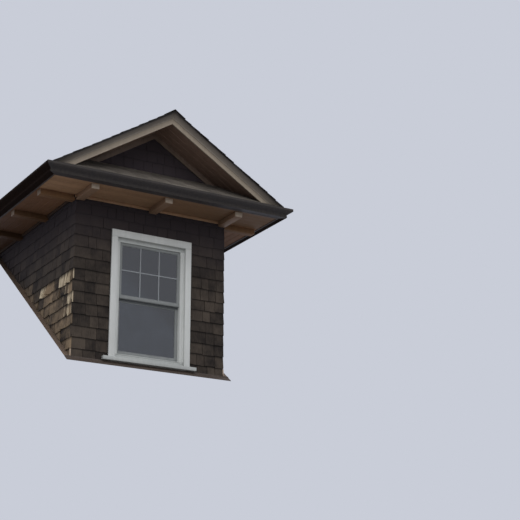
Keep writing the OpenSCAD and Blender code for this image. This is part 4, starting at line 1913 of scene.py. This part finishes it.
@dataclass
class Window:
    """The window: casing, frame, sashes, bars, beads, lock and glass."""

    finishes: Finishes
    rng: random.Random
    casing_lap: float = 30 * MM
    head_w: float = 80 * MM
    frame_set: float = 18 * MM
    stile_w: float = 28 * MM
    rail_h: float = 36 * MM
    check_rail_h: float = 60 * MM
    top_rail_h: float = 24 * MM
    bottom_rail_h: float = 40 * MM
    chamfer: float = 10 * MM
    panes: int = 3
    bar_w: float = 13 * MM
    bar_d: float = 6 * MM
    cross_bite: float = 0.8 * MM
    bead_w: float = 7 * MM
    bead_t: float = 5 * MM
    bead_step: float = 0.1 * MM
    glass_t: float = 16 * MM
    rib_w: float = 7 * MM
    rib_set: float = 2 * MM
    rib_d: float = 5 * MM
    ease: float = 2 * MM
    board_ease: float = 3 * MM
    bead_ease: float = 1.5 * MM
    sill_ease: float = 4 * MM

    def build(self) -> None:
        """Build every part of the window."""
        self.casing()
        board_from("window_sill", Slot.WINDOW_PAINT, self.finishes.sill, Run.ACROSS, self.rng, self.sill_ease)
        self.frame()
        self.ribs()
        self.lower_sash()
        self.upper_sash()
        self.bars()
        self.beads()
        self.lock()
        self.glass()

    def casing(self) -> None:
        """Build the two side casings and the head casing over them."""
        low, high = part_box("window_casing")
        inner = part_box("window_frame")[1].x - self.casing_lap
        head = high.z - self.head_w
        slabs = Slabs()
        for side in Side:
            x0, x1 = side.span(inner, high.x)
            slabs.box((x0, low.y, low.z), (x1, high.y, head - HAIR))
        slabs.box((low.x, low.y, head), high)
        dress_boards(slabs.bm, self.board_ease, Run.UP, self.rng)
        Piece("window_casing_boards", Slot.WINDOW_PAINT, [self.finishes.window], slabs.bm,
              ("window_casing",)).place()

    def frame(self) -> None:
        """Dress the frame. Its foot and its head are as grey as the sill; on the head that grey is painted
        shadow under the head casing.
        """
        bm = merged_copy("window_frame")
        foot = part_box("lower_sash")[0].z
        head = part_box("upper_sash")[1].z
        for level in (foot, head):
            score_level(bm, level)
        dress_boards(bm, self.ease, Run.UP, self.rng)
        # The head's grey is painted shadow under the head casing
        for one in bm.faces:
            one.material_index = int(not foot < one.calc_center_median().z < head)
        Piece("window_frame_eased", Slot.WINDOW_PAINT, [self.finishes.window, self.finishes.sill], bm,
              ("window_frame",)).place()

    def ribs(self) -> None:
        """Build the ribs of the frame's face, beside the casing and round the sashes."""
        base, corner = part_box("window_frame")
        inner = corner.x - self.casing_lap
        low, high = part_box("upper_sash")
        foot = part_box("lower_sash")[0].z
        y = LAYOUT.front + self.frame_set
        edge = high.x + self.rib_set
        slabs = Slabs()
        for side in Side:
            for x, start in ((edge, foot - self.rib_set), (inner - 3 * self.rib_w, base.z)):
                x0, x1 = side.span(x, x + self.rib_w)
                slabs.box((x0, y - self.rib_d, start), (x1, y + BITE, high.z + self.rib_set))
        slabs.box((-edge - self.rib_w, y - self.rib_d, foot - self.rib_w),
                  (edge + self.rib_w, y + BITE, foot - self.rib_set))
        slabs.box((low.x, y - self.rib_d + HAIR, high.z + self.rib_set),
                  (high.x, y + BITE, high.z + self.rib_w))
        dress_boards(slabs.bm, self.bead_ease, Run.UP, self.rng)
        Piece("window_frame_ribs", Slot.WINDOW_PAINT, [self.finishes.window], slabs.bm).place()

    def lower_sash(self) -> None:
        """Build the lower sash, darker on the rail that the upper sash shelters, as painted shade."""
        bm = merged_copy("lower_sash")
        low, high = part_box("lower_sash")
        level = high.z - self.check_rail_h
        score_level(bm, level)
        dress_boards(bm, self.board_ease, Run.UP, self.rng)
        # Painted shade on the outer face of the rail that the upper sash overhangs
        outer = low.y + 4 * MM
        for one in bm.faces:
            middle = one.calc_center_median()
            one.material_index = int(middle.z > level and middle.y < outer)
        Piece("lower_sash_eased", Slot.SASH_PAINT, [self.finishes.sash, self.finishes.shaded_check_rail], bm,
              ("lower_sash",)).place()

    def upper_sash(self) -> None:
        """Build the upper sash, its meeting rail cut back along its lower edge."""
        bm = merged_copy("upper_sash")
        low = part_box("upper_sash")[0]
        foot = [edge for edge in bm.edges
                if all(vert.co.z < low.z + BITE and vert.co.y < low.y + BITE for vert in edge.verts)]
        round_over(bm, foot, self.chamfer, segments=3)
        dress_boards(bm, self.ease, Run.UP, self.rng)
        Piece("upper_sash_eased", Slot.SASH_PAINT, [self.finishes.sash], bm, ("upper_sash",)).place()

    def bars(self) -> None:
        """Build the bars that part the upper glass into six."""
        low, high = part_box("upper_sash")
        left, right = low.x + self.stile_w, high.x - self.stile_w
        bottom, top = low.z + self.rail_h, high.z - self.top_rail_h
        y = (low.y + high.y - self.glass_t) / 2
        slabs = Slabs()
        for i in range(1, self.panes):
            x = left + (right - left) * i / self.panes
            slabs.box((x - self.bar_w / 2, y - self.bar_d, bottom), (x + self.bar_w / 2, y + BITE, top))
        z = (bottom + top) / 2
        slabs.box((left, y - self.bar_d + HAIR, z - self.bar_w / 2),
                  (right, y + self.cross_bite, z + self.bar_w / 2))
        dress_boards(slabs.bm, self.ease, Run.UP, self.rng)
        Piece("upper_sash_bars", Slot.SASH_PAINT, [self.finishes.bar], slabs.bm).place()

    def beads(self) -> None:
        """Build the beads that hold the glass, round the outside of each unit."""
        slabs = Slabs()
        for node, bottom_h, top_h in (("upper_sash", self.rail_h, self.top_rail_h),
                                      ("lower_sash", self.bottom_rail_h, self.check_rail_h)):
            low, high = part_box(node)
            y1 = (low.y + high.y - self.glass_t) / 2 + HAIR
            y0 = y1 - self.bead_t
            x0, x1 = low.x + self.stile_w, high.x - self.stile_w
            z0, z1 = low.z + bottom_h, high.z - top_h
            for left, right, bottom, top in (
                    (x0, x0 + self.bead_w, z0, z1), (x1 - self.bead_w, x1, z0, z1),
                    (x0, x1, z0, z0 + self.bead_w), (x0, x1, z1 - self.bead_w, z1)):
                slabs.box((left, y0, bottom), (right, y1, top))
                # Each bead is a little thinner than the last, so that no two share a plane at a corner
                y0 += self.bead_step
        dress_boards(slabs.bm, self.bead_ease, Run.UP, self.rng, segments=1)
        Piece("glazing_beads", Slot.SASH_PAINT, [self.finishes.sash], slabs.bm).place()

    def lock(self) -> None:
        """Build the sash lock on the meeting rail and the two lifts on the bottom rail."""
        low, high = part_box("lower_sash")
        slabs = Slabs()
        # The lock's plate and cam, then its lever, then the plate and lip of each lift, in millimetres
        for half, inset, foot, top in ((30, 4, 0, 4), (9, 7, 3, 12)):
            slabs.box((-half * MM, low.y + inset * MM, high.z + foot * MM),
                      (half * MM, high.y - inset * MM, high.z + top * MM))
        slabs.box((-4 * MM, high.y - 12 * MM, high.z + 6 * MM), (34 * MM, high.y - 6 * MM, high.z + 11 * MM))
        z = low.z + self.bottom_rail_h / 2
        for x in (low.x / 2, high.x / 2):
            for half, near, far, foot, top in ((35, -1, 3, -5, 5), (28, 2, 11, 1, 4)):
                slabs.box((x - half * MM, high.y + near * MM, z + foot * MM),
                          (x + half * MM, high.y + far * MM, z + top * MM))
        ease_edges(slabs.bm, BITE)
        shade_by_angle(slabs.bm)
        Piece("sash_lock_and_lifts", Slot.SASH_PAINT, [self.finishes.lock], slabs.bm).place()

    def glass(self) -> None:
        """Build the two glass units."""
        bm = merged_copy("window_glass")
        shade_by_angle(bm)
        Piece("glass_units", Slot.GLASS, [self.finishes.glass], bm, ("window_glass",)).place()


@dataclass
class Framing:
    """The rafters, the ridge board and the plates that the side walls stand on."""

    finishes: Finishes
    rng: random.Random
    ease: float = 1.5 * MM

    def build(self) -> None:
        """Build all the framing that shows from inside."""
        self.timber("ridge_board", Run.BACK)
        for side in Side:
            self.timber(side.node("rafters"), Run.rake(side))
            self.timber(side.node("sole_plate"), Run.BACK)

    def timber(self, node: str, run: Run) -> None:
        """Make the timbers of one solid."""
        board_from(node, Slot.FRAMING, self.finishes.fir, run, self.rng, self.ease)


@dataclass
class Flashings:
    """The apron under the window and the step flashings along the side walls."""

    finishes: Finishes
    rng: random.Random
    sheet: float = 1.5 * MM
    piece_l: float = 200 * MM
    step: float = 150 * MM
    wall_leg: float = 30 * MM
    # How uneven the legs' heights are, in millimetres
    leg_ragged: float = 3
    behind: float = 11 * MM
    corner_w: float = 12 * MM
    corner_h: float = 88 * MM
    corner_lift: float = 6 * MM
    fold: float = 0.4 * MM

    def build(self) -> None:
        """Build the flashings."""
        board_from("apron_flashing", Slot.FLASHING, self.finishes.flashing, Run.ACROSS, self.rng, ease=BITE)
        for side in Side:
            self.steps(side)

    def steps(self, side: Side) -> None:
        """Lay the bent sheets up one side, each over the one below, and the worn corner at the foot.

        Args:
            side: The side of the dormer.
        """
        node = side.node("step_flashing")
        low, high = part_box(node)
        reach = max(abs(low.x), abs(high.x))
        up = Vector((0.0, math.cos(HOUSE_PITCH), math.sin(HOUSE_PITCH)))
        sign = side.value
        wall_x = LAYOUT.half_wall - self.behind
        length = (high.y - LAYOUT.front) / math.cos(HOUSE_PITCH) - self.piece_l
        count = math.ceil(length / self.step)
        slabs = Slabs()
        for i in range(count + 1):
            start = length * i / count
            leg = self.wall_leg - self.rng.uniform(0, self.leg_ragged) * MM
            for x0, x1, bottom, top in (
                    (wall_x, reach, 0.0, self.sheet), (wall_x, wall_x + self.sheet, 0.0, leg)):
                slabs.add(lambda a, b, c: ACROSS * (sign * (x0 + (a if sign > 0 else 1 - a) * (x1 - x0)))
                          + BACK * LAYOUT.front + up * (start + b * self.piece_l)
                          - UNDER_HOUSE * (bottom + c * (top - bottom) + (1 - b) * self.sheet))
        ease_edges(slabs.bm, self.fold, segments=1)
        Piece(side.node("step_flashings"), Slot.FLASHING, [self.finishes.lit_step_metal], slabs.bm,
              (node,)).place()
        self.corner(side)

    def corner(self, side: Side) -> None:
        """Fold a small worn sheet round the foot of a front corner.

        Args:
            side: The side of the dormer.
        """
        edge = LAYOUT.half_wall + self.sheet
        slabs = Slabs()
        for x0, x1, y0, y1 in ((edge - self.corner_w, edge, LAYOUT.front - self.sheet, LAYOUT.front),
                               (edge - self.sheet, edge, LAYOUT.front, LAYOUT.front + self.corner_w)):
            left, right = side.span(x0, x1)
            slabs.box((left, y0, LAYOUT.house_z(y1) + self.corner_lift), (right, y1, self.corner_h))
        ease_edges(slabs.bm, self.fold, segments=1)
        Piece(side.node("corner_flashing"), Slot.FLASHING, [self.finishes.corner_metal], slabs.bm).place()


@dataclass
class Studio:
    """The floor, the light and the camera."""

    sky: str = "#c9cdd8"
    cloud: str = "#f4f6ff"
    ground: str = "#8c8a86"
    floor_z: float = -5.2
    floor_r: float = 70.0
    floor_sides: int = 96
    # Strength of the sky from below the horizon to overhead
    glow: Span = (0.55, 1.05)
    sun_energy: float = 0.9
    sun_angle: float = 70.0
    sun_tilt: float = 48.0
    sun_turn: float = -28.0
    camera_at: tuple[float, float, float] = (-6.568, -13.562, -3.666)
    yaw: float = 30.468
    pitch: float = 18.012
    lens_px: float = 1443.3
    image_px: float = 520.0
    sensor_mm: float = 36.0
    sight: float = 300.0

    def build(self) -> None:
        """Set up the stage."""
        self.floor()
        self.world()
        self.lamps()
        self.camera()
        bpy.context.scene.view_settings.view_transform = "Standard"

    def shown(self, g: Graph) -> Socket:
        """Tell what is seen from what only lights the dormer.

        Args:
            g: The node tree.

        Returns:
            The socket that is 1 for what the camera sees straight, in gloss or through glass, else 0.
        """
        seen = g.add("LightPath", output="Is Camera Ray")
        for name in ("Is Glossy Ray", "Is Transmission Ray"):
            seen = g.add("Math", {0: seen, 1: g.add("LightPath", output=name)}, operation="MAXIMUM")
        return seen

    def floor(self) -> None:
        """Lay a wide pale floor below the camera."""
        material = bpy.data.materials.new("studio_floor")
        g = Graph(material)
        colour = g.add("Mix", {0: self.shown(g), 6: linear(self.ground), 7: linear(self.sky)}, 2,
                       data_type="RGBA")
        surface = g.add("BsdfDiffuse", {"Color": colour})
        g.add("OutputMaterial", {"Surface": surface})
        bm = bmesh.new()
        bmesh.ops.create_circle(bm, cap_ends=True, radius=self.floor_r, segments=self.floor_sides,
                                matrix=Matrix.Translation(UP * self.floor_z))
        mesh = bpy.data.meshes.new("studio_floor")
        bm.to_mesh(mesh)
        bm.free()
        mesh.materials.append(material)
        floor = bpy.data.objects.new("studio_floor", mesh)
        bpy.context.scene.collection.objects.link(floor)

    def world(self) -> None:
        """Light the scene from an overcast sky and show a pale backdrop."""
        world = bpy.data.worlds.new("overcast")
        bpy.context.scene.world = world
        g = Graph(world)
        direction = g.add("TexCoord", output="Generated")
        height = g.add("SeparateXYZ", {"Vector": direction}, "Z")
        glow = g.add("MapRange", {
            "Value": height, "From Min": -0.1, "From Max": 0.9,
            "To Min": self.glow[0], "To Max": self.glow[1]})
        light = g.add("Mix", {0: 1.0, 6: linear(self.cloud), 7: glow}, 2,
                      data_type="RGBA", blend_type="MULTIPLY")
        colour = g.add("Mix", {0: self.shown(g), 6: light, 7: linear(self.sky)}, 2, data_type="RGBA")
        surface = g.add("Background", {"Color": colour, "Strength": 1.0})
        g.add("OutputWorld", {"Surface": surface})

    def lamps(self) -> None:
        """Hang one broad soft lamp high in front, a little to the left."""
        lamp = bpy.data.lights.new("soft_sun", "SUN")
        lamp.energy = self.sun_energy
        lamp.angle = math.radians(self.sun_angle)
        holder = bpy.data.objects.new("soft_sun", lamp)
        holder.rotation_euler = Euler((math.radians(self.sun_tilt), 0.0, math.radians(self.sun_turn)))
        bpy.context.scene.collection.objects.link(holder)

    def camera(self) -> None:
        """Put the camera where the photograph was taken from."""
        data = bpy.data.cameras.new("camera")
        data.sensor_width = self.sensor_mm
        data.sensor_fit = "HORIZONTAL"
        data.lens = data.sensor_width * self.lens_px / self.image_px
        data.clip_end = self.sight
        camera = bpy.data.objects.new("camera", data)
        camera.location = self.camera_at
        camera.rotation_euler = Euler((math.radians(90 + self.pitch), 0.0, math.radians(-self.yaw)))
        bpy.context.scene.collection.objects.link(camera)
        bpy.context.scene.camera = camera


def main() -> None:
    """Build the dormer, dress it and set the stage."""
    logging.basicConfig(level=logging.INFO, format="%(name)s: %(message)s")
    finishes = Finishes()
    for part, seed in ((Walls, 11), (Roofs, 23), (Eaves, 31), (Window, 47), (Framing, 59), (Flashings, 61)):
        part(finishes, random.Random(seed)).build()
    Studio().build()


if __name__ == "__main__":
    main()
